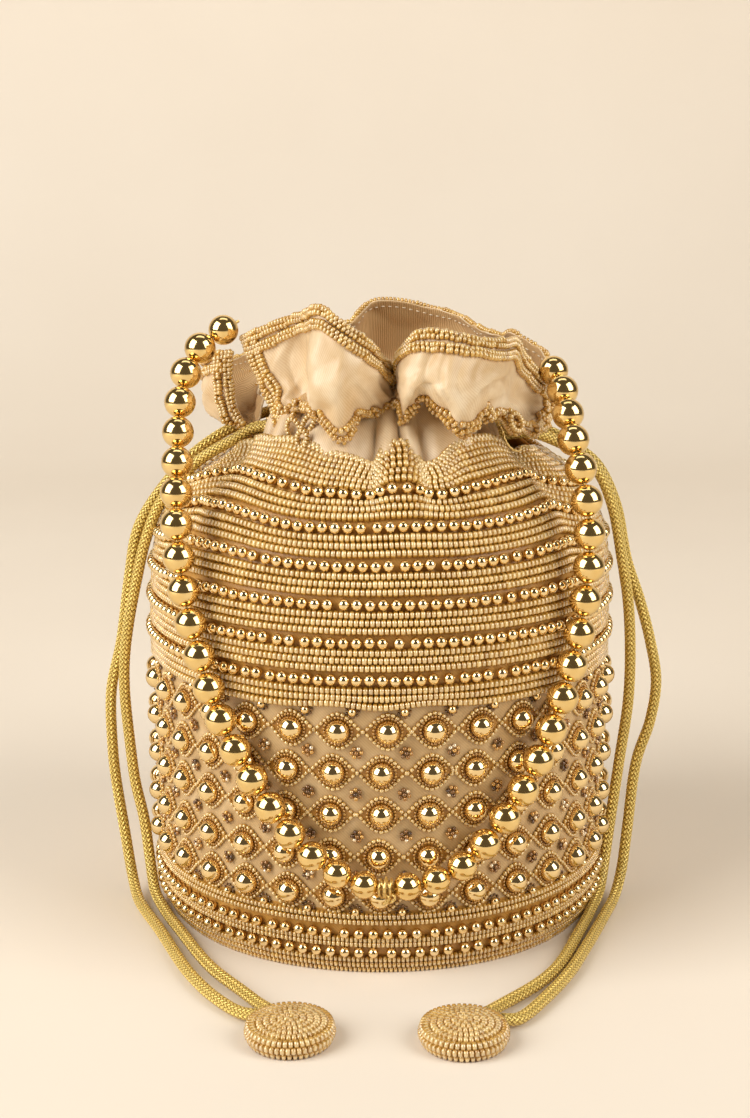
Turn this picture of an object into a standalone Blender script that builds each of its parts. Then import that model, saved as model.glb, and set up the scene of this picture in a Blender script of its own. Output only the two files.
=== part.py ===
"""Drawstring pouch (potli) with a beaded body, a gathered satin frill, two drawstrings that end in
bead-covered discs, and a strand of gold balls for a handle.  Metres, +Z up, front towards -Y.
The origin is the centre of the base, on the surface that the bag stands on."""
import math

import bmesh
import bpy
import numpy as np
from mathutils import Matrix, Vector

MM = 0.001
GAP = 0.3 * MM                     # air left between neighbours that touch

# ---- the bag's body ---------------------------------------------------------------------------------
CLOTH = 1.2 * MM                   # beaded cloth with its backing
LINING = 0.8 * MM
# outer face of the cloth: (height, radius), first at the bag's sides, then at its front and back
SIDE_PROFILE = [(0, 76.8), (1.5, 78.6), (5, 80), (20, 80.6), (110, 80.8), (127, 80), (138, 77.6),
                (147, 72.8), (154, 66), (159.5, 58), (164, 50.5), (166.5, 49)]
FRONT_PROFILE = [(0, 76.8), (1.5, 78.6), (5, 80), (20, 80.6), (100, 80.8), (114, 79.8), (127, 77.4),
                 (139, 74.3), (151, 70.5), (160, 65.5), (168, 59), (172.5, 54)]
BODY_ROWS = [0, 1.5, 5, 20, 50, 80, 110, 127, 139, 147, 154, 159.5, 164, 166.5]
YOKE_ROW = 139                     # above it the rows climb towards the front and the back
YOKE_RISE = 6.0
SHOULDER_LIFT = 3.0                # the right shoulder is that much fuller than the left one
SHOULDER_ROWS = (110, 140)
BODY_SEGMENTS = 44

BASE_RADIUS = 75.6 * MM
BOARD_RADIUS = 74.4 * MM
BOARD_THICKNESS = 2.0 * MM

# ---- the neck -----------------------------------------------------------------------------------------
NECK_RADIUS = 46.5 * MM            # outer face of the drawstring channel
NECK_LOW = 165.5 * MM
NECK_HIGH = 184.0 * MM
LINING_NECK_RADIUS = 40.6 * MM
SLIT_LOW = 168.0 * MM              # side windows that the drawstrings come out of
SLIT_HIGH = 181.0 * MM
SLIT_HALF_WIDTH = 24.0 * MM

# ---- the frill ------------------------------------------------------------------------------------------
FRILL_CLOTH = 1.2 * MM
FRILL_LOW = NECK_HIGH + 0.4 * MM
FRONT_ARC = (-156, -24)            # degrees round the neck that each flap is sewn along
BACK_ARC = (24, 156)
FRONT_RIM = [(-46, -17, 206), (-36, -38, 212), (-20, -53, 217), (-7, -49, 208), (4.7, -36, 198),
             (13, -50, 208.5), (24, -54, 209.5), (36, -46, 207.5), (45.5, -24, 204)]
BACK_RIM = [(48, 15, 202), (43, 32, 204), (32, 46, 206), (18, 46, 210), (0, 49, 212), (-14, 46, 205),
            (-30, 46, 207), (-44, 32, 205), (-52, 13, 200)]

# ---- the drawstrings --------------------------------------------------------------------------------------
CORD_RADIUS = 2.0 * MM
LOOP_RADIUS = 43.1 * MM            # how far from the neck's axis the cords run in the channel
LEFT_LOOP_HEIGHT = 175.6 * MM
RIGHT_LOOP_HEIGHT = 171.0 * MM
LOOP_FRONT_ANGLE = 32              # degrees from the side at which each loop's two ends leave it
LOOP_BACK_ANGLE = 22
CORD_STEP = 9.0 * MM
LEFT_FRONT_ROUTE = [(-43.5, -17.5, 174.2), (-51, -15, 169.6), (-62, -12.5, 163), (-71, -11, 154.8),
                    (-78.2, -10, 145.5), (-83.6, -9.5, 132.2), (-87, -8.5, 119), (-90.7, -8, 101.5),
                    (-92.6, -7.5, 88), (-92.9, -7.5, 76), (-91.6, -7, 56), (-90, -8, 42),
                    (-86.8, -10, 27.7), (-84.6, -14, 14), (-82, -22, 5), (-77, -34, 2.3),
                    (-70.4, -49.5, 2.3), (-56.4, -80, 2.3), (-45, -97, 2.3), (-38.5, -107, 2.6)]
LEFT_BACK_ROUTE = [(-44.8, 9.5, 174.8), (-49.5, 4, 172.8), (-57, 1.5, 169.2), (-67, -2, 162.2),
                   (-77, -4, 151.6), (-86.4, -5, 136.6), (-90.3, -4.5, 118.7), (-94.2, -3, 94),
                   (-98.5, -2.5, 75), (-98.8, -2, 52.5), (-98, -2.5, 42), (-94.8, -6, 22.3),
                   (-91.5, -13, 8), (-88, -24, 3), (-84.5, -33, 2.3), (-77.4, -49.5, 2.3),
                   (-63.2, -84.4, 2.3), (-53.1, -102, 2.3), (-44, -113, 2.6)]
RIGHT_FRONT_ROUTE = [(44, -17.5, 171.8), (52.3, -14.5, 172), (61.3, -12, 168.8), (69.5, -11, 164.2),
                     (76.5, -10.5, 158), (82.2, -10, 145.5), (86.5, -9, 125.3), (89.2, -8, 110.3),
                     (90.7, -7, 91.4), (90.7, -6, 72.2), (88.1, -6, 49.2), (84.9, -10, 27.7),
                     (82.6, -14.5, 14), (80, -22, 5), (75.5, -34, 2.3), (68.7, -54, 2.3),
                     (59.2, -79.2, 2.3), (51.5, -92, 2.3), (38.5, -107.5, 2.6)]
RIGHT_BACK_ROUTE = [(45.2, 9, 171.6), (54, 3.5, 172), (63.2, 1, 169), (71, -1, 164.3),
                    (77.7, -3.5, 158.5), (84.2, -4.5, 145), (88.8, -4, 124.4), (94.1, -3, 109.4),
                    (98.4, -3, 94.1), (101.3, -2, 78.3), (99.6, -2, 63.3), (94.9, -3, 48),
                    (91.5, -8, 23), (89, -14, 9.5), (85.6, -23, 3.5), (80, -38, 2.3),
                    (71.2, -62.1, 2.3), (62.5, -84, 2.3), (53, -102, 2.3), (43, -117, 2.6)]
DISC_CENTRES = {"left": (-27.9 * MM, -126.0 * MM, 0), "right": (25.4 * MM, -127.3 * MM, 0)}
DISC_RADIUS = 14.0 * MM
DISC_HEIGHT = 7.6 * MM

# ---- the handle ----------------------------------------------------------------------------------------------
BALL_COUNT_LEFT = 21
BALL_COUNT_RIGHT = 20
SMALL_BALL = 0.86                  # size of the balls beside the knot, next to the full ones
SMALL_BALL_REACH = 3.0             # how many balls the change of size takes
KNOT_LENGTH = 4.6 * MM
KNOT_RADIUS = 2.3 * MM
THREAD_RADIUS = 0.5 * MM
HOLE_RADIUS = 0.85 * MM
BALL_SIDES = 10
STRAND_ROUTE = [(-53.6, -18, 207.8), (-62.6, -22, 202.3), (-66.1, -28, 193.9), (-67.6, -34, 184.2),
                (-67.4, -46, 165.8), (-66.9, -57.5, 147.2), (-64.8, -61, 126.6), (-59.8, -66.2, 107.1),
                (-53.5, -71.6, 88.2), (-43.5, -78.5, 70.3), (-31.7, -84.2, 53.7), (-24.6, -86.8, 46.4),
                (-16.3, -88.8, 40.2), (-7.2, -90, 35.8), (0, -90.3, 34.6), (7.2, -90, 34.9),
                (17, -88.6, 36), (26.4, -86.4, 40), (33.4, -83.9, 46.4), (45.3, -78, 61),
                (55.1, -71.4, 79.4), (62.2, -65, 98.7), (66.9, -60, 119), (68.9, -57.4, 140),
                (66.8, -54.5, 161), (64.6, -49.5, 170.2), (62.8, -40.5, 179), (62.2, -30, 188),
                (59.2, -20, 194.2)]


def scaled(points):
    """Route points written in millimetres, as metres."""
    return [Vector(point) * MM for point in points]


def smooth_curve(points, samples=16):
    """A dense smooth curve through the points (a centripetal spline), open at both ends."""
    ends = [points[0] * 2 - points[1], *points, points[-1] * 2 - points[-2]]
    curve = []
    for first, start, end, last in zip(ends, ends[1:], ends[2:], ends[3:]):
        knots = [0.0]
        for a, b in ((first, start), (start, end), (end, last)):
            knots.append(knots[-1] + math.sqrt((b - a).length))
        for step in range(samples):
            t = knots[1] + (knots[2] - knots[1]) * step / samples
            a = first.lerp(start, (t - knots[0]) / (knots[1] - knots[0]))
            b = start.lerp(end, (t - knots[1]) / (knots[2] - knots[1]))
            c = end.lerp(last, (t - knots[2]) / (knots[3] - knots[2]))
            low = a.lerp(b, (t - knots[0]) / (knots[2] - knots[0]))
            high = b.lerp(c, (t - knots[1]) / (knots[3] - knots[1]))
            curve.append(low.lerp(high, (t - knots[1]) / (knots[2] - knots[1])))
    curve.append(points[-1].copy())
    return curve


def lengths_along(curve):
    steps = [0.0]
    for a, b in zip(curve, curve[1:]):
        steps.append(steps[-1] + (b - a).length)
    return steps


def point_at(curve, lengths, distance):
    """The point of the curve at a distance along it, and the direction there."""
    columns = [np.interp(distance, lengths, [p[axis] for p in curve]) for axis in range(3)]
    index = min(max(int(np.searchsorted(lengths, distance)), 1), len(curve) - 1)
    return Vector(columns), (curve[index] - curve[index - 1]).normalized()


def even_points(points, step):
    """Points a step apart along the smooth curve through the given ones."""
    curve = smooth_curve(points)
    lengths = lengths_along(curve)
    count = max(2, round(lengths[-1] / step))
    return [point_at(curve, lengths, lengths[-1] * i / count)[0] for i in range(count + 1)]


def make_material(name, colour, roughness, metallic=0.0):
    material = bpy.data.materials.new(name)
    material.use_nodes = True
    shader = material.node_tree.nodes["Principled BSDF"]
    shader.inputs["Base Color"].default_value = (*colour, 1.0)
    shader.inputs["Roughness"].default_value = roughness
    shader.inputs["Metallic"].default_value = metallic
    material.diffuse_color = (*colour, 1.0)
    return material


def add_object(name, data, material, collection):
    thing = bpy.data.objects.new(name, data)
    data.materials.append(material)
    collection.objects.link(thing)
    return thing


def mesh_from(name, shape):
    mesh = bpy.data.meshes.new(name)
    shape.to_mesh(mesh)
    shape.free()
    mesh.shade_smooth()
    mesh.set_sharp_from_angle(angle=math.radians(40))
    return mesh


def grid_sheet(name, columns, rows, place, material, collection):
    """A grid whose points go where place(across, up) puts them, both running from 0 to 1."""
    shape = bmesh.new()
    bmesh.ops.create_grid(shape, x_segments=columns, y_segments=rows, size=0.5)
    for vertex in shape.verts:
        vertex.co = place(vertex.co.x + 0.5, vertex.co.y + 0.5)
    bmesh.ops.remove_doubles(shape, verts=shape.verts, dist=0.00001)
    return add_object(name, mesh_from(name, shape), material, collection)


def thicken(thing, thickness, offset):
    wall = thing.modifiers.new("Wall", "SOLIDIFY")
    wall.thickness = thickness
    wall.offset = offset
    wall.use_even_offset = True


def turned(name, profile, steps, material, collection):
    """A solid turned about its own Z from a closed profile of (radius, height) points."""
    shape = bmesh.new()
    points = [shape.verts.new((radius, 0, height)) for radius, height in profile]
    for a, b in zip(points, points[1:] + points[:1]):
        shape.edges.new((a, b))
    thing = add_object(name, mesh_from(name, shape), material, collection)
    screw = thing.modifiers.new("Turn", "SCREW")
    screw.axis = "Z"
    screw.steps = screw.render_steps = steps
    screw.use_merge_vertices = True
    screw.merge_threshold = 0.00001
    return thing


def disc(name, radius, low, thickness, sides, material, collection):
    shape = bmesh.new()
    place = Matrix.Translation((0, 0, low + thickness / 2))
    bmesh.ops.create_cone(shape, cap_ends=True, segments=sides, radius1=radius, radius2=radius,
                          depth=thickness, matrix=place)
    return add_object(name, mesh_from(name, shape), material, collection)


def tube(name, points, radius, material, collection):
    curve = bpy.data.curves.new(name, "CURVE")
    curve.dimensions = "3D"
    curve.bevel_depth = radius
    curve.bevel_resolution = 2
    curve.use_fill_caps = True
    spline = curve.splines.new("POLY")
    spline.points.add(len(points) - 1)
    for point, place in zip(spline.points, points):
        point.co = (*place, 1.0)
    return add_object(name, curve, material, collection)


def body_radius(angle, height):
    """Outer face of the beaded cloth at an angle round the bag and a height."""
    lift = SHOULDER_LIFT * max(0.0, math.cos(angle)) ** 2
    lift *= np.interp(height / MM, SHOULDER_ROWS, (0, 1))
    side = np.interp(height / MM - lift, *zip(*SIDE_PROFILE))
    front = np.interp(height / MM, *zip(*FRONT_PROFILE))
    return (side + (front - side) * abs(math.sin(angle)) ** 1.6) * MM


def row_height(angle, row):
    """Height of one of the body's rows at an angle: the top ones rise at the front and the back."""
    share = max(0.0, (row - YOKE_ROW) / (BODY_ROWS[-1] - YOKE_ROW))
    return (row + YOKE_RISE * share * abs(math.sin(angle)) ** 1.6) * MM


def body_point(angle, height, inwards=0.0):
    """A point of the body's outer face, or that far inside it, square to the face."""
    reach = 4 * MM
    rise = body_radius(angle, height + reach) - body_radius(angle, height - reach)
    slope = math.atan2(-rise, 2 * reach)
    radius = body_radius(angle, height) - inwards * math.cos(slope)
    return Vector((radius * math.cos(angle), radius * math.sin(angle), height - inwards * math.sin(slope)))


def build_body(materials, collection):
    def place(across, up):
        row = BODY_ROWS[round(up * (len(BODY_ROWS) - 1))]
        angle = across * math.tau
        return body_point(angle, row_height(angle, row))

    body = grid_sheet("beaded_body", BODY_SEGMENTS, len(BODY_ROWS) - 1, place, materials["beads"],
                      collection)
    thicken(body, CLOTH, -1)


def build_base(materials, collection):
    disc("base_panel", BASE_RADIUS, 0.0, CLOTH, BODY_SEGMENTS, materials["beads"], collection)
    disc("base_board", BOARD_RADIUS, CLOTH + GAP, BOARD_THICKNESS, 36, materials["board"], collection)


def build_lining(materials, collection):
    """The lining bag: flat on the base board, up inside the cloth, and up through the neck."""
    floor = CLOTH + BOARD_THICKNESS + 2 * GAP + LINING
    shrink = CLOTH + 4 * GAP
    neck_rows = [161.5, 172, 183.6]
    wall_rows = [row for row in BODY_ROWS if row * MM > floor and row < 158]
    rings = [(0.0, floor), (0.5, floor), (1.0, floor)]
    count = len(rings) + len(wall_rows) + len(neck_rows) - 1

    def place(across, up):
        index = round(up * count)
        angle = across * math.tau
        if index < len(rings):
            share, height = rings[index]
            edge = body_point(angle, height, shrink + LINING)
            return Vector((edge.x * share, edge.y * share, height))
        index -= len(rings)
        if index < len(wall_rows):
            return body_point(angle, wall_rows[index] * MM, shrink)
        height = neck_rows[index - len(wall_rows)] * MM
        return Vector((LINING_NECK_RADIUS * math.cos(angle), LINING_NECK_RADIUS * math.sin(angle),
                       height))

    lining = grid_sheet("lining", 36, count, place, materials["lining"], collection)
    thicken(lining, LINING, -1)


def build_channel(materials, collection, cutters):
    """The satin band that the drawstrings run behind, open at each side where they come out."""
    thickness = CLOTH / 2
    rim = [(NECK_RADIUS, NECK_HIGH), (NECK_RADIUS, NECK_LOW), (NECK_RADIUS - thickness, NECK_LOW),
           (NECK_RADIUS - thickness, NECK_HIGH)]
    channel = turned("drawstring_channel", rim, 40, materials["satin"], collection)
    shape = bmesh.new()
    size = (4 * NECK_RADIUS, 2 * SLIT_HALF_WIDTH, SLIT_HIGH - SLIT_LOW)
    bmesh.ops.create_cube(shape, size=1.0, matrix=Matrix.Diagonal((*size, 1.0)))
    cutter = bpy.data.objects.new("slit_cutter", mesh_from("slit_cutter", shape))
    cutter.location = (0, 0, (SLIT_HIGH + SLIT_LOW) / 2)
    cutter.hide_render = True
    cutter.display_type = "WIRE"
    cutters.objects.link(cutter)
    cut = channel.modifiers.new("Slits", "BOOLEAN")
    cut.operation = "DIFFERENCE"
    cut.object = cutter


def build_frill(name, arc, rim_points, materials, collection):
    """One flap of the frill, from its sewn arc on the neck up and out to its wavy rim."""
    rim = smooth_curve(scaled(rim_points))
    lengths = lengths_along(rim)

    def place(across, up):
        angle = math.radians(arc[0] + (arc[1] - arc[0]) * across)
        foot = Vector((NECK_RADIUS * math.cos(angle), NECK_RADIUS * math.sin(angle), FRILL_LOW))
        edge, _ = point_at(rim, lengths, lengths[-1] * across)
        bulge = Vector((math.cos(angle), math.sin(angle), 0)) * math.sin(math.pi * up) * 3 * MM
        return foot.lerp(edge, up) + bulge

    flap = grid_sheet(name, 28, 4, place, materials["satin"], collection)
    thicken(flap, FRILL_CLOTH, -1)


def circle_points(height, start, end):
    """Points of a drawstring's run in the channel, between two angles in degrees."""
    count = 34
    angles = [math.radians(start + (end - start) * i / count) for i in range(count + 1)]
    return [Vector((LOOP_RADIUS * math.cos(a), LOOP_RADIUS * math.sin(a), height)) for a in angles]


def build_drawstring(side, sign, height, routes, materials, collection):
    """One drawstring: its run round the neck, and the two ends that hang free at one side."""
    if sign < 0:
        front, back = 180 + LOOP_FRONT_ANGLE, 540 - LOOP_BACK_ANGLE
    else:
        front, back = 360 - LOOP_FRONT_ANGLE, LOOP_BACK_ANGLE
    run = circle_points(height, front, back)
    tube(f"{side}_drawstring_run", run, CORD_RADIUS, materials["braid"], collection)
    centre = Vector(DISC_CENTRES[side])
    for where, end, inside, route in (("front", run[0], run[1], routes[0]),
                                      ("back", run[-1], run[-2], routes[1])):
        start = end + (end - inside).normalized() * 3 * GAP
        points = scaled(route)
        inward = centre - points[-1]
        inward.z = 0
        last = centre - inward.normalized() * (DISC_RADIUS + GAP)
        last.z = DISC_HEIGHT / 2
        route_points = even_points([start, *points, last], CORD_STEP)
        tube(f"{side}_{where}_cord", route_points, CORD_RADIUS, materials["braid"], collection)


def build_end_disc(side, materials, collection):
    """The padded bead-covered disc that the two ends of a drawstring are sewn into."""
    crown = DISC_HEIGHT
    edge = DISC_RADIUS
    profile = [(0.0, crown), (0.62 * edge, 0.94 * crown), (0.9 * edge, 0.76 * crown), (edge, 0.5 * crown),
               (0.93 * edge, 0.2 * crown), (0.74 * edge, 0.0), (0.0, 0.0)]
    shape = bmesh.new()
    points = [shape.verts.new((radius, 0, height)) for radius, height in profile]
    edges = [shape.edges.new(pair) for pair in zip(points, points[1:])]
    bmesh.ops.spin(shape, geom=points + edges, cent=(0, 0, 0), axis=(0, 0, 1), angle=math.tau, steps=24,
                   use_merge=True)
    bmesh.ops.remove_doubles(shape, verts=shape.verts, dist=0.00001)
    bmesh.ops.recalc_face_normals(shape, faces=shape.faces)
    pad = add_object(f"{side}_end_disc", mesh_from(f"{side}_end_disc", shape), materials["beads"],
                     collection)
    pad.location = DISC_CENTRES[side]


def ball_profile(radius):
    """Half a ball's outline down its outer side, closed by the wall of the hole through it."""
    top = math.asin(HOLE_RADIUS / radius)
    arcs = 4
    angles = [top + (math.pi - 2 * top) * i / arcs for i in range(arcs + 1)]
    return [(radius * math.sin(a), radius * math.cos(a)) for a in angles]


def ball_sizes(length):
    """Radii of all the balls in order, scaled so that the strand fills its route."""
    shares = []
    for count, order in ((BALL_COUNT_LEFT, -1), (BALL_COUNT_RIGHT, 1)):
        side = [1 - (1 - SMALL_BALL) * math.exp(-(i / SMALL_BALL_REACH) ** 2) for i in range(count)]
        side[-1] *= 0.96
        shares += side[::order]
    gaps = GAP * len(shares)
    ends = (shares[0] + shares[-1]) / 2
    unit = (length - gaps - KNOT_LENGTH) / (sum(shares) - ends)
    return [share * unit / 2 for share in shares]


def build_handle(materials, collection):
    """The strand of drilled balls on its thread, with the knot that joins its two halves."""
    curve = smooth_curve(scaled(STRAND_ROUTE))
    lengths = lengths_along(curve)
    radii = ball_sizes(lengths[-1])
    halves = [radius + GAP / 2 for radius in radii]
    halves.insert(BALL_COUNT_LEFT, KNOT_LENGTH / 2)
    distance = -halves[0]
    joints = [curve[0] + (curve[0] - curve[1]).normalized() * halves[0]]
    for half in halves[:-1]:
        distance += 2 * half
        joints.append(point_at(curve, lengths, distance)[0])
    joints.append(curve[-1] + (curve[-1] - curve[-2]).normalized() * halves[-1])
    pieces = [turned(f"handle_ball_{index + 1:02d}", ball_profile(radius), BALL_SIDES, materials["ball"],
                     collection) for index, radius in enumerate(radii)]
    pieces.insert(BALL_COUNT_LEFT, turned("handle_knot", knot_profile(), BALL_SIDES, materials["braid"],
                                          collection))
    for piece, start, end in zip(pieces, joints, joints[1:]):
        piece.location = (start + end) / 2
        piece.rotation_euler = (end - start).to_track_quat("Z", "Y").to_euler()
    first = joints[0] + (joints[0] - joints[1]).normalized() * MM
    last = joints[-1] + (joints[-1] - joints[-2]).normalized() * MM
    tube("handle_thread", [first, *joints[1:-1], last], THREAD_RADIUS, materials["braid"], collection)


def knot_profile():
    half = KNOT_LENGTH / 2 - GAP
    return [(0.6 * KNOT_RADIUS, half), (KNOT_RADIUS, 0.5 * half), (KNOT_RADIUS, -0.5 * half),
            (0.6 * KNOT_RADIUS, -half), (HOLE_RADIUS, -half), (HOLE_RADIUS, half)]


def main():
    for thing in list(bpy.data.objects):
        bpy.data.objects.remove(thing)
    parts = bpy.data.collections.new("potli_bag")
    cutters = bpy.data.collections.new("cutters")
    for collection in (parts, cutters):
        bpy.context.scene.collection.children.link(collection)
    materials = {
        "beads": make_material("gold_seed_beads", (0.62, 0.38, 0.13), 0.35),
        "satin": make_material("champagne_satin", (0.78, 0.60, 0.38), 0.45),
        "lining": make_material("lining_cloth", (0.50, 0.29, 0.10), 0.7),
        "board": make_material("grey_board", (0.45, 0.40, 0.33), 0.9),
        "braid": make_material("gold_braid", (0.58, 0.40, 0.08), 0.4, 0.5),
        "ball": make_material("polished_gold", (0.86, 0.58, 0.20), 0.1, 1.0),
    }
    build_body(materials, parts)
    build_base(materials, parts)
    build_lining(materials, parts)
    build_channel(materials, parts, cutters)
    build_frill("front_frill", FRONT_ARC, FRONT_RIM, materials, parts)
    build_frill("back_frill", BACK_ARC, BACK_RIM, materials, parts)
    build_drawstring("left", -1, LEFT_LOOP_HEIGHT, (LEFT_FRONT_ROUTE, LEFT_BACK_ROUTE), materials, parts)
    build_drawstring("right", 1, RIGHT_LOOP_HEIGHT, (RIGHT_FRONT_ROUTE, RIGHT_BACK_ROUTE), materials,
                     parts)
    for side in DISC_CENTRES:
        build_end_disc(side, materials, parts)
    build_handle(materials, parts)


main()
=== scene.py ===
"""Looks of the drawstring pouch: a beaded body with a studded lattice, a gathered satin frill with
seed-bead borders, braided drawstrings ending in beaded discs, and a strand of gold balls as the handle.
Lengths in the tables are millimetres; everything that reaches a mesh is metres."""
import math

import bmesh
import bpy
import numpy as np
from mathutils import Matrix, Vector


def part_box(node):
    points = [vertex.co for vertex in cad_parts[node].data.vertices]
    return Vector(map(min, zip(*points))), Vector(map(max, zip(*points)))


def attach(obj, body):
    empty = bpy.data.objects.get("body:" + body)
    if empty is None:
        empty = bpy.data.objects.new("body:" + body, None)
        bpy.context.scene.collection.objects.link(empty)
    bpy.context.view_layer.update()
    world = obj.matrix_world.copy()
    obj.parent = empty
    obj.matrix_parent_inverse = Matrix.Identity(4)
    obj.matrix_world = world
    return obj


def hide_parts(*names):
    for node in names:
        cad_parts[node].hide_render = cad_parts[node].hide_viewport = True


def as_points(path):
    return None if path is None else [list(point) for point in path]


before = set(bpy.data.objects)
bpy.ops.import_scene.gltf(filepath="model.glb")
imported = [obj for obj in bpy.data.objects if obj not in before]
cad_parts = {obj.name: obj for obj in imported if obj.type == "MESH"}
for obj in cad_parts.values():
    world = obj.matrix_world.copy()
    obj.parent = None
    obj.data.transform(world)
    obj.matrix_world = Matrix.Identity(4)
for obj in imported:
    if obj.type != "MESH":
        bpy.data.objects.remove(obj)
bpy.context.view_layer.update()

MM = 0.001
random = np.random.default_rng(41)

# ---- camera --------------------------------------------------------------------------------------
CAMERA_PLACE = (-0.0018, -0.62, 0.26)
CAMERA_DIP = 12.4                  # degrees below the horizon
CAMERA_LENS = 56.4

# ---- the body's face, as the frame has it --------------------------------------------------------
SIDE_PROFILE = [(0, 76.8), (1.5, 78.6), (5, 80), (20, 80.6), (110, 80.8), (127, 80), (138, 77.6),
                (147, 72.8), (154, 66), (159.5, 58), (164, 50.5), (166.5, 49)]
FRONT_PROFILE = [(0, 76.8), (1.5, 78.6), (5, 80), (20, 80.6), (100, 80.8), (114, 79.8), (127, 77.4),
                 (139, 74.3), (151, 70.5), (160, 65.5), (168, 59), (172.5, 54), (180, 49)]
TOP_ROW = 166.5
YOKE_ROW = 139
YOKE_RISE = 6.0
SHOULDER_LIFT = 3.0
SHOULDER_ROWS = (110, 140)
# folds in the beaded cloth: angle, depth, half width in degrees, the rows it starts and is full at
FOLDS = [(-151, 4.2, 4.0, 122, 156), (-32, 4.8, 4.0, 112, 156), (-91, 1.6, 2.6, 146, 158),
         (-77.5, 2.2, 2.2, 144, 160), (-84.5, -1.4, 3.0, 146, 162), (-60, -1.2, 8.0, 138, 158),
         (-120, -1.2, 9.0, 138, 158), (33, 3.4, 4.5, 118, 156), (104, 2.0, 4.0, 124, 154),
         (148, 3.6, 4.0, 118, 156), (70, -1.0, 8.0, 140, 160)]
# how far the bead rows climb the shoulders towards the folds: angle, height, full from the second row on
SWINGS = [(-180, -3.5), (-164, -0.5), (-152, 3.8), (-140, 5.2), (-131, 4.6), (-120, 2.4), (-110, 0.9),
          (-96, 1.0), (-84, 1.8), (-70, 0.8), (-58, 1.6), (-47, 3.0), (-38, 5.0), (-32, 3.0), (-24, -1.0),
          (0, -3.0), (20, -0.5), (38, 4.0), (52, 3.0), (72, 0.9), (100, 1.2), (124, 2.4), (141, 4.6),
          (160, -0.5)]
SWING_ROWS = (118, 154)
# how far the gathered top edge climbs or drops round the bag: angle, height
TOP_WAVES = [(-180, 0.5), (-168, -1.6), (-157, 0), (-150, -3), (-142, -1.4), (-131.5, -1.5), (-122, 0.4),
             (-114, 0), (-107, -2.2), (-98.5, -3.8), (-91.6, -7.2), (-89, -1.5), (-86, 0.3), (-81.5, 0.7),
             (-78.4, -3.4), (-76.5, -7.0), (-71, -4.6), (-64, 0.3), (-56, 1.7), (-49, 1.2), (-44.5, -0.2),
             (-39, -3.3), (-31.5, -5.5), (-24, 0), (-11, 0.5), (2, -1.6), (14, 1), (24, -0.5), (33, -5),
             (46, 0.6), (58, 1.2), (66, -0.8), (76, 0.8), (88, -2.6), (97, 1.2), (106, -4.2), (118, 1.2),
             (130, 0), (147, -4.5), (160, 0.6), (170, -1)]

# ---- rows of beads, by height or by the way up the cloth from the lowest gold row ----------------
LOW_GOLD_ROW = 101.8
GOLD_ROW_GAP = 11.9
GOLD_ROWS = 6
SEED_STEPS = (3.75, 6.25, 8.75)    # seed rows above each gold row
YOKE_SEED_STEP = 2.5
YOKE_SEED_ROWS = 7
UNDER_SEED_ROWS = (98.3, 95.9, 93.5)
FOOT_SEED_ROWS = (20.9, 18.8, 12.5, 10.8, 5.4, 3.4, 1.35)
FOOT_GOLD_ROWS = (15.0, 8.2)
GOLD_BEAD = 4.0
GOLD_PITCH = 4.08
FOOT_GOLD_PITCH = 4.7
GAP_SHARE = 0.13                   # share of gold beads with a slack gap after them
SLACK_GAP = 0.26                   # of a pitch
SEED_BEAD = 2.75
SEED_LENGTH = 2.1
SEED_PITCH = 1.72

# ---- the studded lattice -------------------------------------------------------------------------
LATTICE_COLUMNS = 32
LATTICE_ROWS = (84.4, 70.3, 56.0, 41.4, 27.7)
LATTICE_DRIFT = (1.4, 0.3, 0.0, -0.2, 0.2)      # degrees that each row is out of line
STUD_RADIUS = 4.0
RING_RADIUS = 4.6
EYE_HALF_WIDTH = 7.9
EYE_HALF_HEIGHT = 5.9
WALL_RADIUS = 80.7
EYE_ROUND = 39.5                   # length of an eye's outline
FINE_BEAD = 1.25
FINE_PITCH = 1.65
RING_BEAD = 1.15
RING_PITCH = 1.15

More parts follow.
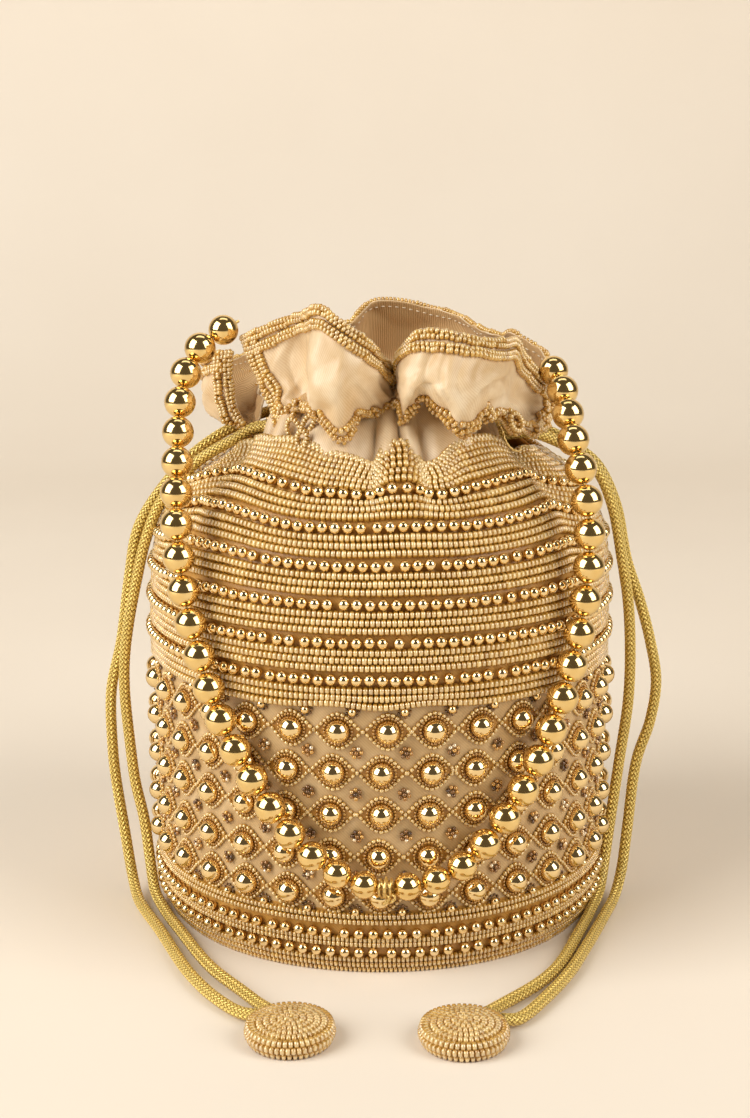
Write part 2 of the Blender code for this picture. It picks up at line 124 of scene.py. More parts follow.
# ---- the frill: each column runs from its foot up to the rim -------------------------------------
FRONT_COLUMNS = [
    ((-35, -29, 175), (-37.5, -27, 183.5), (-42, -22, 194), (-47, -17, 205.5)),
    ((-33, -33, 177.5), (-35.5, -29, 186), (-38, -27, 197), (-40, -25, 209)),
    ((-29.5, -36, 182), (-30.5, -31, 188), (-31.5, -30, 200), (-32, -33, 213)),
    ((-26, -38, 184.5), (-26, -33, 189), (-26, -34, 202.5), (-25.5, -40, 215.5)),
    ((-24.5, -44, 183), (-24, -45, 191), (-24, -46, 204), (-23, -46, 217)),
    ((-22, -50, 181.5), (-23.5, -56, 193.5), (-22.5, -55, 204.5), (-20, -53, 218.5)),
    ((-18, -53, 181.5), (-20, -61, 192), (-18.5, -60, 203.5), (-17.5, -57, 218)),
    ((-12, -57, 176.5), (-13.5, -64, 190.5), (-12.5, -63, 201.5), (-12.5, -59, 214)),
    ((-7.5, -52, 181.5), (-7.5, -59, 192), (-6.5, -59, 200), (-7, -57, 209.5)),
    ((-3.5, -47, 183), (-2, -50, 190.5), (-1.5, -51, 197), (-2, -50, 204)),
    ((1, -43, 183.5), (2.5, -41, 187.5), (2.5, -40, 192.5), (2, -40, 199)),
    ((4.5, -43, 184.5), (5, -42, 187.5), (5, -38, 191.5), (5, -34, 197.5)),
    ((6, -46, 185.5), (5.5, -50, 190.5), (6, -47, 197.5), (7, -38, 201.5)),
    ((7.5, -50, 180), (7, -57, 190.5), (7.5, -55, 200), (8.5, -46, 205.5)),
    ((10.5, -50, 186), (10, -60, 191.5), (11.5, -60, 200.5), (11.5, -53, 210)),
    ((12, -50, 189), (14, -61, 193), (16.5, -62, 200.5), (16, -56, 211)),
    ((18, -54, 183.5), (19.5, -65, 191.5), (22, -64, 200), (21.5, -58, 210.5)),
    ((24, -58, 179), (26, -64, 189.5), (28, -62, 199), (28, -56, 209)),
    ((28, -54, 180), (32, -58, 191.5), (34.5, -57, 199), (34.5, -51, 207.5)),
    ((31.5, -49, 186.5), (37, -51, 191.5), (40, -50, 197.5), (40, -44, 206.5)),
    ((35.5, -46, 180.5), (40, -44, 189), (42, -42, 195), (44.5, -36, 206.5)),
    ((39, -42, 183), (42, -36, 185.5), (44, -34, 191), (47.5, -30, 202)),
    ((45.5, -35, 177), (50, -27, 181.5), (52, -24, 187.5), (53, -21, 195)),
    ((53, -25, 174.5), (59.5, -17, 178.5), (61, -14, 183), (58, -13, 187.5))]
BACK_COLUMNS = [
    ((43, -14, 176), (50, -14, 177), (54, -13, 181), (57, -12, 184.5)),
    ((45, -9, 177), (55, -8, 176), (60, -7, 181), (61.5, -6, 188)),
    ((46, -2, 179), (58, -1, 178), (60.5, 0, 188), (59, 0, 197)),
    ((46, 6, 181), (54, 8, 184), (55.5, 7, 193), (54, 6, 201)),
    ((44, 13, 183), (50, 14, 188), (49.5, 12, 196), (47, 9, 205)),
    ((41, 20, 184), (46, 21, 190), (46, 19, 197), (44, 15, 203)),
    ((37, 27, 185), (42, 30, 191), (42, 26, 198), (40, 20, 203.5)),
    ((31, 34, 185), (36, 39, 191), (37, 37, 199), (36, 30, 205)),
    ((24, 39, 185), (29, 47, 192), (30, 47, 201), (30, 41, 208)),
    ((15, 44, 185), (18, 54, 192), (19, 54, 202), (19, 49, 210.5)),
    ((6, 46, 185), (8, 56, 192), (8, 56, 203), (8, 51, 213)),
    ((-4, 46, 185), (-4, 54, 192), (-4, 54, 203), (-3, 49, 213)),
    ((-12, 45, 185), (-13, 48, 191), (-13, 47, 198), (-10.5, 41, 205.5)),
    ((-20, 42, 185), (-23, 47, 191), (-24, 48, 200), (-22, 44, 206)),
    ((-30, 35, 185), (-35, 43, 191), (-36, 45, 200), (-34, 42, 207)),
    ((-38, 25, 185), (-43, 31, 190), (-44, 34, 195), (-44, 33, 199)),
    ((-43, 12, 184), (-49, 17, 187), (-51, 19, 191), (-51, 20, 195)),
    ((-46, 3, 181), (-57, 7, 182), (-59, 9, 188), (-58.5, 10, 194)),
    ((-47, -4, 178), (-60, -1, 177), (-63, 1, 185), (-61.5, 2, 196)),
    ((-46, -10, 176), (-57, -7, 176), (-60, -6, 185), (-58, -5, 198.5)),
    ((-43, -17, 173.5), (-48, -14, 178), (-51, -12, 187), (-51.5, -10, 200))]
# beaded lines in mm below a flap's rim, and piping lines by their share of the way up
BORDER_LINES = (0.4, 2.1, 5.0, 6.6)
PIPING_LINES = (0.235, 0.285, 0.335)
NECK_BAND_TOP = 186.0
# cut sizes in metres: the modelled cloth's widest row by its mean height
NECK_BAND_CUT = (0.155, 0.025)
FRONT_FLAP_CUT = (0.2, 0.045)
BACK_FLAP_CUT = (0.226, 0.037)
NECK_HEM_RADIUS = 43.0             # where the frill turns in over the channel
NECK_HEM_HEIGHT = 184.5
NECK_CREASES = (-150, -139, -126, -92, -83, -75, -47, -38, -30)
# loops of beads at the frill's foot: x, z, reach from the middle, width, height, lean in degrees
BEAD_LOOPS = ((-28.7, 177.0, 51.8, 4.4, 7.4, 14), (-23.8, 179.6, 52.6, 3.0, 7.2, -28),
              (-25.7, 175.2, 57.0, 3.4, 5.6, -8), (45.2, 179.4, 61.1, 3.6, 6.6, 24))
BACK_NECK_CREASES = (30, 43, 56, 76, 88, 101, 120, 134, 150)

# ---- drawstrings, repeated from the frame --------------------------------------------------------
CORD_DIAMETER = 4.0
LOOP_RADIUS = 43.1
LOOP_HEIGHTS = {"left": 175.6, "right": 171.0}
LOOP_FRONT_ANGLE = 32
LOOP_BACK_ANGLE = 22
GAP = 0.3
CORD_ROUTES = {
    "left_front": [(-43.5, -17.5, 174.2), (-51, -15, 169.6), (-62, -12.5, 163), (-71, -11, 154.8),
                   (-78.2, -10, 145.5), (-83.6, -9.5, 132.2), (-87, -8.5, 119), (-90.7, -8, 101.5),
                   (-92.6, -7.5, 88), (-92.9, -7.5, 76), (-91.6, -7, 56), (-90, -8, 42),
                   (-86.8, -10, 27.7), (-84.6, -14, 14), (-82, -22, 5), (-77, -34, 2.3),
                   (-70.4, -49.5, 2.3), (-56.4, -80, 2.3), (-45, -97, 2.3), (-38.5, -107, 2.6)],
    "left_back": [(-44.8, 9.5, 174.8), (-49.5, 4, 172.8), (-57, 1.5, 169.2), (-67, -2, 162.2),
                  (-77, -4, 151.6), (-86.4, -5, 136.6), (-90.3, -4.5, 118.7), (-94.2, -3, 94),
                  (-98.5, -2.5, 75), (-98.8, -2, 52.5), (-98, -2.5, 42), (-94.8, -6, 22.3),
                  (-91.5, -13, 8), (-88, -24, 3), (-84.5, -33, 2.3), (-77.4, -49.5, 2.3),
                  (-63.2, -84.4, 2.3), (-53.1, -102, 2.3), (-44, -113, 2.6)],
    "right_front": [(44, -17.5, 171.8), (52.3, -14.5, 172), (61.3, -12, 168.8), (69.5, -11, 164.2),
                    (76.5, -10.5, 158), (82.2, -10, 145.5), (86.5, -9, 125.3), (89.2, -8, 110.3),
                    (90.7, -7, 91.4), (90.7, -6, 72.2), (88.1, -6, 49.2), (84.9, -10, 27.7),
                    (82.6, -14.5, 14), (80, -22, 5), (75.5, -34, 2.3), (68.7, -54, 2.3),
                    (59.2, -79.2, 2.3), (51.5, -92, 2.3), (38.5, -107.5, 2.6)],
    "right_back": [(45.2, 9, 171.6), (54, 3.5, 172), (63.2, 1, 169), (71, -1, 164.3),
                   (77.7, -3.5, 158.5), (84.2, -4.5, 145), (88.8, -4, 124.4), (94.1, -3, 109.4),
                   (98.4, -3, 94.1), (101.3, -2, 78.3), (99.6, -2, 63.3), (94.9, -3, 48),
                   (91.5, -8, 23), (89, -14, 9.5), (85.6, -23, 3.5), (80, -38, 2.3),
                   (71.2, -62.1, 2.3), (62.5, -84, 2.3), (53, -102, 2.3), (43, -117, 2.6)]}
DISC_CENTRES = {"left": (-27.9, -126.0), "right": (25.4, -127.3)}
DISC_RADIUS = 14.0
DISC_HEIGHT = 7.6


# ---- colours and materials -----------------------------------------------------------------------
def linear(hex_colour):
    """An sRGB hex colour as the linear RGBA that shaders take."""
    channels = [int(hex_colour[i:i + 2], 16) / 255 for i in (1, 3, 5)]
    return (*[c / 12.92 if c <= 0.04045 else ((c + 0.055) / 1.055) ** 2.4 for c in channels], 1.0)


def add_node(tree, kind, settings=None, values=None, links=None):
    """A node with its settings, its sockets' values and what feeds its sockets."""
    node = tree.nodes.new(kind)
    for name, value in (settings or {}).items():
        setattr(node, name, value)
    for name, value in (values or {}).items():
        node.inputs[name].default_value = value
    for name, socket in (links or {}).items():
        tree.links.new(socket, node.inputs[name])
    return node


def new_material(name, values):
    """A material with its Principled BSDF's own sockets set; returns it with its tree and shader."""
    material = bpy.data.materials.new(name)
    material.use_nodes = True
    tree = material.node_tree
    shader = tree.nodes["Principled BSDF"]
    for socket, value in values.items():
        shader.inputs[socket].default_value = value
    return material, tree, shader


def colour_ramp(tree, factor, stops):
    """A colour ramp over (position, hex) stops, fed by a factor socket."""
    node = add_node(tree, "ShaderNodeValToRGB", links={"Fac": factor})
    ramp = node.color_ramp
    ramp.elements[0].position, ramp.elements[0].color = stops[0][0], linear(stops[0][1])
    ramp.elements[1].position, ramp.elements[1].color = stops[-1][0], linear(stops[-1][1])
    for position, colour in stops[1:-1]:
        ramp.elements.new(position).color = linear(colour)
    return node.outputs["Color"]


def waves_per(period_mm):
    """Scale of a Wave texture whose bands are that far apart."""
    return math.tau / 20 / (period_mm * MM)


def grains_per(size_mm):
    """Scale of a noise whose grains are about that big."""
    return 1 / (size_mm * MM)


def add_bump(tree, shader, height, strength, depth_mm):
    bump = add_node(tree, "ShaderNodeBump", values={"Strength": strength, "Distance": depth_mm * MM},
                    links={"Height": height})
    tree.links.new(bump.outputs["Normal"], shader.inputs["Normal"])


def polished_plating():
    """Acrylic balls with a vacuum-plated gold skin: mirror bright, with a faint orange-peel ripple."""
    material, tree, shader = new_material("vacuum_plated_gold", {"Metallic": 1.0})
    spot = add_node(tree, "ShaderNodeTexCoord").outputs["Object"]
    ripple = add_node(tree, "ShaderNodeTexNoise", values={"Scale": grains_per(4), "Detail": 2.0},
                      links={"Vector": spot}).outputs["Fac"]
    tree.links.new(colour_ramp(tree, ripple, [(0.3, "#ecca84"), (0.7, "#f2d595")]),
                   shader.inputs["Base Color"])
    scuff = add_node(tree, "ShaderNodeTexNoise", values={"Scale": grains_per(0.8), "Detail": 3.0},
                     links={"Vector": spot}).outputs["Fac"]
    rough = add_node(tree, "ShaderNodeMapRange", values={"To Min": 0.06, "To Max": 0.16},
                     links={"Value": scuff})
    tree.links.new(rough.outputs["Result"], shader.inputs["Roughness"])
    add_bump(tree, shader, ripple, 0.08, 0.05)
    return material


def toned_beads(name, stops, metallic, roughness, coat, lining=0.0):
    """Small beads whose colour follows each bead's own tone, from the darkest to the palest. Where a glint
    strength is given, a pale dash is painted along each bead's outward-facing crest as a painted highlight."""
    material, tree, shader = new_material(
        name, {"Metallic": metallic, "Roughness": roughness, "IOR": 1.5, "Coat Weight": coat,
               "Coat Roughness": 0.03, "Coat IOR": 1.8})
    tone = add_node(tree, "ShaderNodeAttribute", {"attribute_name": "tone"}).outputs["Fac"]
    glass = colour_ramp(tree, tone, stops)
    # painted highlight: mix a pale dash into the colour where the bead's outward height is near its top
    if lining:
        painted_highlight_mask = add_node(tree, "ShaderNodeAttribute", {"attribute_name": "painted_highlight_mask"}).outputs["Fac"]
        glint = add_node(tree, "ShaderNodeMapRange", {"interpolation_type": "SMOOTHSTEP"},
                         {"From Min": 0.69, "From Max": 0.9, "To Max": lining}, {"Value": painted_highlight_mask})
        mixed = add_node(tree, "ShaderNodeMix", {"data_type": "RGBA"}, {7: linear("#fff4c8")},
                         {0: glint.outputs["Result"], 6: glass})
        glass = mixed.outputs[2]
    tree.links.new(glass, shader.inputs["Base Color"])
    spot = add_node(tree, "ShaderNodeTexCoord").outputs["Object"]
    flow = add_node(tree, "ShaderNodeTexNoise", values={"Scale": grains_per(0.7)},
                    links={"Vector": spot}).outputs["Fac"]
    add_bump(tree, shader, flow, 0.15, 0.1)
    return material


def satin(name, dark, middle, pale, slub_mm=14.0):
    """Polyester satin, woven with long floats: a soft broad sheen along faint diagonal threads. The
    threads are drawn 0.55 mm apart, about three times the real ones, so that they show."""
    material, tree, shader = new_material(
        name, {"Roughness": 0.42, "Sheen Weight": 0.25, "Sheen Roughness": 0.35,
               "Sheen Tint": linear("#fff1dc"), "Specular IOR Level": 0.55, "Anisotropic": 0.3})
    cloth = add_node(tree, "ShaderNodeTexCoord").outputs["UV"]
    threads = add_node(tree, "ShaderNodeTexWave", {"bands_direction": "DIAGONAL"},
                       {"Scale": waves_per(0.55), "Distortion": 1.5, "Detail": 1.0},
                       {"Vector": cloth}).outputs["Fac"]
    slub = add_node(tree, "ShaderNodeTexNoise", values={"Scale": grains_per(slub_mm), "Detail": 4.0},
                    links={"Vector": cloth}).outputs["Fac"]
    shade = add_node(tree, "ShaderNodeMix", values={"Factor": 0.12},
                     links={"A": slub, "B": threads})
    tree.links.new(colour_ramp(tree, shade.outputs["Result"], [(0.3, dark), (0.5, middle), (0.7, pale)]),
                   shader.inputs["Base Color"])
    add_bump(tree, shader, shade.outputs["Result"], 0.2, 0.12)
    return material


def ribbed_lining():
    """Woven rib lining: matt, with fine ribs 0.7 mm apart that run up the cloth."""
    material, tree, shader = new_material("ribbed_cotton_lining",
                                          {"Roughness": 0.75, "Sheen Weight": 0.15})
    cloth = add_node(tree, "ShaderNodeTexCoord").outputs["UV"]
    ribs = add_node(tree, "ShaderNodeTexWave", {"bands_direction": "X"},
                    {"Scale": waves_per(0.7), "Distortion": 0.6, "Detail": 2.0},
                    {"Vector": cloth}).outputs["Fac"]
    tree.links.new(colour_ramp(tree, ribs, [(0.1, "#b48a52"), (0.9, "#d8b481")]),
                   shader.inputs["Base Color"])
    add_bump(tree, shader, ribs, 0.5, 0.2)
    return material


def metallic_braid():
    """Braided rayon and metal thread, bright yellow, 8 strands to the turn. Colour follows each strand's
    height:
    painted shade in the gaps between strands and a painted highlight on their crowns.
    """
    material, tree, shader = new_material("braided_metallic_thread",
                                          {"Metallic": 0.45, "Roughness": 0.36, "Coat Weight": 0.15})
    cord = add_node(tree, "ShaderNodeTexCoord").outputs["UV"]
    parts = add_node(tree, "ShaderNodeSeparateXYZ", links={"Vector": cord})
    turn, along = parts.outputs["X"], parts.outputs["Y"]
    ridges = []
    for lean in (1, -1):
        swing = add_node(tree, "ShaderNodeMath", {"operation": "MULTIPLY"}, {1: lean * BRAID_TURN},
                         {0: along})
        phase = add_node(tree, "ShaderNodeMath", {"operation": "MULTIPLY_ADD"}, {1: BRAID_STRANDS * math.pi},
                         {0: turn, 2: swing.outputs[0]})
        wave = add_node(tree, "ShaderNodeMath", {"operation": "SINE"}, links={0: phase.outputs[0]})
        ridges.append((wave.outputs[0], add_node(tree, "ShaderNodeMath", {"operation": "ABSOLUTE"},
                                                 links={0: wave.outputs[0]}).outputs[0]))
    over = add_node(tree, "ShaderNodeMath", {"operation": "MULTIPLY"},
                    links={0: ridges[0][0], 1: ridges[1][0]})
    pick = add_node(tree, "ShaderNodeMath", {"operation": "GREATER_THAN"}, {1: 0.0},
                    {0: over.outputs[0]})
    strand = add_node(tree, "ShaderNodeMix", links={"Factor": pick.outputs[0], "A": ridges[0][1],
                                                    "B": ridges[1][1]}).outputs["Result"]
    fibre = add_node(tree, "ShaderNodeTexNoise", values={"Scale": 9.0, "Detail": 3.0},
                     links={"Vector": cord}).outputs["Fac"]
    mixed = add_node(tree, "ShaderNodeMix", values={"Factor": 0.2}, links={"A": strand, "B": fibre})
    # painted shade and highlight: dark in the gaps between strands, pale on the strand crowns
    tree.links.new(colour_ramp(tree, mixed.outputs["Result"],
                               [(0.12, "#856318"), (0.42, "#d4aa40"), (0.85, "#fae084")]),
                   shader.inputs["Base Color"])
    add_bump(tree, shader, strand, 0.9, 0.5)
    return material


def wrapped_thread():
    """Gold thread wound tight: fine bright turns 0.5 mm apart."""
    material, tree, shader = new_material("wound_gold_thread", {"Metallic": 0.85, "Roughness": 0.28})
    spot = add_node(tree, "ShaderNodeTexCoord").outputs["Object"]
    turns = add_node(tree, "ShaderNodeTexWave", {"bands_direction": "X"},
                     {"Scale": waves_per(0.5), "Distortion": 0.8}, {"Vector": spot}).outputs["Fac"]
    tree.links.new(colour_ramp(tree, turns, [(0.1, "#d0a24a"), (0.8, "#f9e09a")]),
                   shader.inputs["Base Color"])
    add_bump(tree, shader, turns, 0.6, 0.2)
    return material


def fibre_board():
    """Pressed grey board: matt, with short flecks of fibre."""
    material, tree, shader = new_material("pressed_fibre_board", {"Roughness": 0.92})
    spot = add_node(tree, "ShaderNodeTexCoord").outputs["Object"]
    flecks = add_node(tree, "ShaderNodeTexNoise", values={"Scale": grains_per(1.2), "Detail": 6.0},
                      links={"Vector": spot}).outputs["Fac"]
    tree.links.new(colour_ramp(tree, flecks, [(0.3, "#8f8066"), (0.7, "#b3a488")]),
                   shader.inputs["Base Color"])
    add_bump(tree, shader, flecks, 0.4, 0.2)
    return material


def plain_base_cloth():
    """Plain woven base cloth, matt, with threads 0.6 mm apart."""
    material, tree, shader = new_material("woven_base_cloth", {"Roughness": 0.8})
    spot = add_node(tree, "ShaderNodeTexCoord").outputs["Object"]
    weave = add_node(tree, "ShaderNodeTexWave", {"bands_direction": "DIAGONAL"},
                     {"Scale": waves_per(0.6), "Distortion": 1.0}, {"Vector": spot}).outputs["Fac"]
    tree.links.new(colour_ramp(tree, weave, [(0.2, "#8f6630"), (0.8, "#a87d45")]),
                   shader.inputs["Base Color"])
    add_bump(tree, shader, weave, 0.4, 0.15)
    return material


def stitch_thread():
    """Pale sewing thread, spun from cotton: matt and slightly fluffy."""
    material, tree, shader = new_material("pale_sewing_thread", {"Roughness": 0.7})
    spot = add_node(tree, "ShaderNodeTexCoord").outputs["Object"]
    twist = add_node(tree, "ShaderNodeTexNoise", values={"Scale": grains_per(0.3)},
                     links={"Vector": spot}).outputs["Fac"]
    tree.links.new(colour_ramp(tree, twist, [(0.3, "#e0cfae"), (0.7, "#f2e6cd")]),
                   shader.inputs["Base Color"])
    return material


def paper_sweep():
    """Matt backdrop paper with a barely seen tooth."""
    material, tree, shader = new_material("matt_backdrop_paper", {"Roughness": 0.85})
    spot = add_node(tree, "ShaderNodeTexCoord").outputs["Object"]
    tooth = add_node(tree, "ShaderNodeTexNoise", values={"Scale": grains_per(250), "Detail": 2.0},
                     links={"Vector": spot}).outputs["Fac"]
    tree.links.new(colour_ramp(tree, tooth, [(0.2, FLOOR_DARK), (0.8, FLOOR_PALE)]),
                   shader.inputs["Base Color"])
    return material


BRAID_STRANDS = 8                  # ridges round the cord in each direction
BRAID_TURN = 3.4                   # radians of strand turn for each cord radius of length
FLOOR_DARK = "#ebe0d0"
FLOOR_PALE = "#efe5d6"

# silver-lined glass beads of clear amber, each a little different, with a painted highlight: a pale dash
# along each bead's outward crest, faint on the bronze-lined ones
SEED_GLASS = toned_beads("silver_lined_seed_glass",
                         [(0.0, "#b07d28"), (0.5, "#cd9c3e"), (1.0, "#e6bb60")],
                         0.15, 0.14, 1.0, 1.0)
FINE_GLASS = toned_beads("pale_seed_glass",
                         [(0.0, "#b07f2a"), (0.5, "#cb9c44"), (1.0, "#e2bb6a")], 0.15, 0.14, 1.0, 1.0)
DARK_GLASS = toned_beads("bronze_lined_glass",
                         [(0.0, "#a06d1c"), (0.5, "#bd882e"), (1.0, "#d6a74c")], 0.25, 0.15, 1.0, 0.2)
MIXED_GLASS = toned_beads("mixed_cluster_beads",
                          [(0.0, "#4a2c0d"), (0.4, "#a87430"), (0.75, "#dfae5c"), (1.0, "#fff3da")],
                          0.6, 0.18, 0.8)
GOLD_BEADS = toned_beads("plated_gold_beads",
                         [(0.0, "#edcd90"), (0.5, "#f3d8a1"), (1.0, "#f8e2b4")], 1.0, 0.08, 0.0)
GOLD = polished_plating()
SATIN = satin("champagne_satin_weave", "#ccab7c", "#dec39b", "#efdcbc")
GROUND = satin("gold_ground_cloth", "#b58233", "#c79344", "#d6a658", 9.0)
EYE_SATIN = satin("bronze_satin_inlay", "#9c6a20", "#b07c2e", "#c08e40", 9.0)
LATTICE_SATIN = satin("champagne_ground_satin", "#b4905e", "#c4a371", "#d2b486", 9.0)
LINING_CLOTH = ribbed_lining()
BRAID = metallic_braid()
THREAD = wrapped_thread()
BOARD = fibre_board()
GROUND_PLAIN = plain_base_cloth()
STITCH = stitch_thread()


# ---- mesh helpers --------------------------------------------------------------------------------
def finish_piece(name, mesh, materials, body="bag", replaced=()):
    """An object in the scene that rides on its body and hides the frame's parts that it replaces."""
    piece = bpy.data.objects.new(name, mesh)
    for material in materials:
        mesh.materials.append(material)
    bpy.context.scene.collection.objects.link(piece)
    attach(piece, body)
    if replaced:
        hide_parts(*replaced)
    return piece


def shaped_grid(name, columns, rows, place, size_mm, closed=False, capped=False):
    """A grid whose points go where place(across, up) puts them, in mm, with UVs in metres."""
    shape = bmesh.new()
    bmesh.ops.create_grid(shape, x_segments=columns, y_segments=rows, size=0.5)
    layer = shape.loops.layers.uv.new("UVMap")
    shape.verts.index_update()
    flat = np.array([v.co for v in shape.verts])[:, :2] + 0.5
    for face in shape.faces:
        for loop in face.loops:
            across, up = flat[loop.vert.index]
            loop[layer].uv = (across * size_mm[0], up * size_mm[1])
    for vertex, point in zip(shape.verts, place(flat[:, 0], flat[:, 1]) * MM):
        vertex.co = point
    if closed:
        bmesh.ops.remove_doubles(shape, verts=shape.verts, dist=0.00002)
    if capped:
        bmesh.ops.holes_fill(shape, edges=[e for e in shape.edges if e.is_boundary], sides=0)
    if closed or capped:
        bmesh.ops.recalc_face_normals(shape, faces=shape.faces)
    return mesh_from(name, shape)


def thicken(piece, thickness_mm, inner_material=0):
    """Gives a sheet its thickness on its inner side."""
    wall = piece.modifiers.new("Thickness", "SOLIDIFY")
    wall.thickness = thickness_mm * MM
    wall.offset = -1
    wall.material_offset = inner_material
    wall.use_even_offset = False


BARREL_FULLNESS = 1.2              # how much fuller than a ball a bead is near its ends


def mesh_from(name, shape):
    """A smooth-shaded mesh made from a bmesh, which is freed."""
    mesh = bpy.data.meshes.new(name)
    shape.to_mesh(mesh)
    shape.free()
    mesh.shade_smooth()
    return mesh


def lathe(profile, steps, closed, merge):
    """A bmesh turned from a profile of radius and height pairs in metres."""
    shape = bmesh.new()
    points = [shape.verts.new((r, 0, z)) for r, z in profile]
    ends = points[1:] + points[:1] if closed else points[1:]
    edges = [shape.edges.new(pair) for pair in zip(points, ends)]
    bmesh.ops.spin(shape, geom=points + edges, cent=(0, 0, 0), axis=(0, 0, 1), angle=math.tau, steps=steps,
                   use_merge=True)
    bmesh.ops.remove_doubles(shape, verts=shape.verts, dist=merge)
    bmesh.ops.recalc_face_normals(shape, faces=shape.faces)
    return shape


def polar(radius, angle, height):
    """Points from a radius, an angle in radians and a height."""
    return np.stack([radius * np.cos(angle), radius * np.sin(angle), np.broadcast_to(height, angle.shape)],
                    axis=-1)


def bead_shape(kind, segments=6, rings=3, length=1.0):
    """Corners and triangles of a bead of diameter 1, its hole along X, from a sphere operator."""
    shape = bmesh.new()
    if kind == "round":
        bmesh.ops.create_icosphere(shape, subdivisions=1, radius=0.5)
    elif kind == "ball":
        bmesh.ops.create_uvsphere(shape, u_segments=segments, v_segments=rings, radius=0.5)
    elif kind == "barrel":
        turn = Matrix.Rotation(math.pi / 2, 4, "Y")
        bmesh.ops.create_uvsphere(shape, u_segments=segments, v_segments=rings, radius=0.5, matrix=turn)
        for vertex in shape.verts:
            if 0.1 < abs(vertex.co.x) < 0.45:
                vertex.co.yz *= BARREL_FULLNESS
        bmesh.ops.scale(shape, vec=(length, 1, 1), verts=shape.verts)
    elif kind == "dome":
        bmesh.ops.create_uvsphere(shape, u_segments=segments, v_segments=rings, radius=0.5)
        cut = bmesh.ops.bisect_plane(shape, geom=shape.verts[:] + shape.edges[:] + shape.faces[:],
                                     plane_co=(0, 0, -0.04), plane_no=(0, 0, -1), clear_outer=True)
        bmesh.ops.holes_fill(shape, edges=[e for e in cut["geom_cut"] if isinstance(e, bmesh.types.BMEdge)])
    bmesh.ops.triangulate(shape, faces=shape.faces)
    shape.verts.index_update()
    corners = np.array([v.co for v in shape.verts])
    triangles = np.array([[v.index for v in f.verts] for f in shape.faces])
    shape.free()
    return corners, triangles


def seed_shape():
    """A seed bead, shorter than it is thick."""
    return bead_shape("barrel", length=SEED_LENGTH / SEED_BEAD)


def strew(name, bead, places, along, out, sizes, tones, material, body="bag"):
    """One piece made of a copy of the bead at each place (mm), its hole along the row and its top
    outwards, with each copy's tone kept for its colour."""
    corners, triangles = bead
    count = len(places)
    out = out / np.linalg.norm(out, axis=1, keepdims=True)
    along = along - (along * out).sum(1, keepdims=True) * out
    along = along / np.linalg.norm(along, axis=1, keepdims=True)
    aside = np.cross(out, along)
    turn = np.stack([along, aside, out], axis=1)
    local = corners[None] * np.asarray(sizes)[:, None, None]
    points = np.einsum("nki,nij->nkj", local, turn) + places[:, None, :]
    faces = triangles[None] + (np.arange(count) * len(corners))[:, None, None]
    mesh = bpy.data.meshes.new(name)
    mesh.vertices.add(count * len(corners))
    mesh.vertices.foreach_set("co", (points * MM).astype(np.float32).ravel())
    mesh.loops.add(faces.size)
    mesh.loops.foreach_set("vertex_index", faces.astype(np.int32).ravel())
    mesh.polygons.add(count * len(triangles))
    mesh.polygons.foreach_set("loop_start", np.arange(0, faces.size, 3, dtype=np.int32))
    tone = mesh.attributes.new("tone", "FLOAT", "POINT")
    tone.data.foreach_set("value", np.repeat(np.broadcast_to(tones, count), len(corners)).astype(np.float32))
    # painted highlight mask: each corner's height towards the bead's outward side, read by the bead materials
    # to paint a pale dash on top
    painted_highlight_mask = mesh.attributes.new("painted_highlight_mask", "FLOAT", "POINT")
    painted_highlight_mask.data.foreach_set("value", np.tile(corners[:, 2] * 2 - 0.12, count).astype(np.float32))
    mesh.update(calc_edges=True)
    mesh.shade_smooth()
    return finish_piece(name, mesh, [material], body)


class Beads:
    """Places, directions, sizes and tones gathered for one strew."""

    def __init__(self):
        self.rows = []

    def add(self, places, along, out, size, tones):
        count = len(places)
        self.rows.append((places, along, out, np.broadcast_to(size, count), np.broadcast_to(tones, count)))

    def strew(self, name, bead, material, slot, body="bag"):
        places, along, out, sizes, tones = (np.concatenate(part) for part in zip(*self.rows))
        return strew(name, bead, places, along, out, sizes, tones, material, body)


def seed_tones(count, middle=0.5, spread=0.2):
    return np.clip(random.normal(middle, spread, count), 0, 1)


def smooth_curve(points, samples=16):
    """A dense smooth curve through the points (a centripetal spline), open at both ends."""
    ends = [points[0] * 2 - points[1], *points, points[-1] * 2 - points[-2]]
    curve = []
    for first, start, end, last in zip(ends, ends[1:], ends[2:], ends[3:]):
        knots = [0.0]
        for a, b in ((first, start), (start, end), (end, last)):
            knots.append(knots[-1] + math.sqrt((b - a).length))
        for step in range(samples):
            t = knots[1] + (knots[2] - knots[1]) * step / samples
            a = first.lerp(start, (t - knots[0]) / (knots[1] - knots[0]))
            b = start.lerp(end, (t - knots[1]) / (knots[2] - knots[1]))
            c = end.lerp(last, (t - knots[2]) / (knots[3] - knots[2]))
            low = a.lerp(b, (t - knots[0]) / (knots[2] - knots[0]))
            high = b.lerp(c, (t - knots[1]) / (knots[3] - knots[1]))
            curve.append(low.lerp(high, (t - knots[1]) / (knots[2] - knots[1])))
    curve.append(points[-1].copy())
    return curve


def lengths_of(curve):
    """How far along a curve (an array of points) each of its points is."""
    return np.concatenate([[0.0], np.cumsum(np.linalg.norm(np.diff(curve, axis=0), axis=1))])


def spread_along(curve, pitch, extra=(), gaps=0.0):
    """Points a pitch apart along a curve, with a slack gap after some of them, the direction at each,
    and other arrays read there."""
    lengths = lengths_of(curve)
    count = max(2, int(round(lengths[-1] / (pitch * (1 + gaps * SLACK_GAP)))))
    steps = 1 + SLACK_GAP * (random.random(count) < gaps)
    at = (np.cumsum(steps) - 0.5) * lengths[-1] / steps.sum()

    def read(values):
        return np.stack([np.interp(at, lengths, values[:, i]) for i in range(values.shape[1])], axis=1)

    return (read(curve), read(np.gradient(curve, axis=0)), *[read(values) for values in extra])


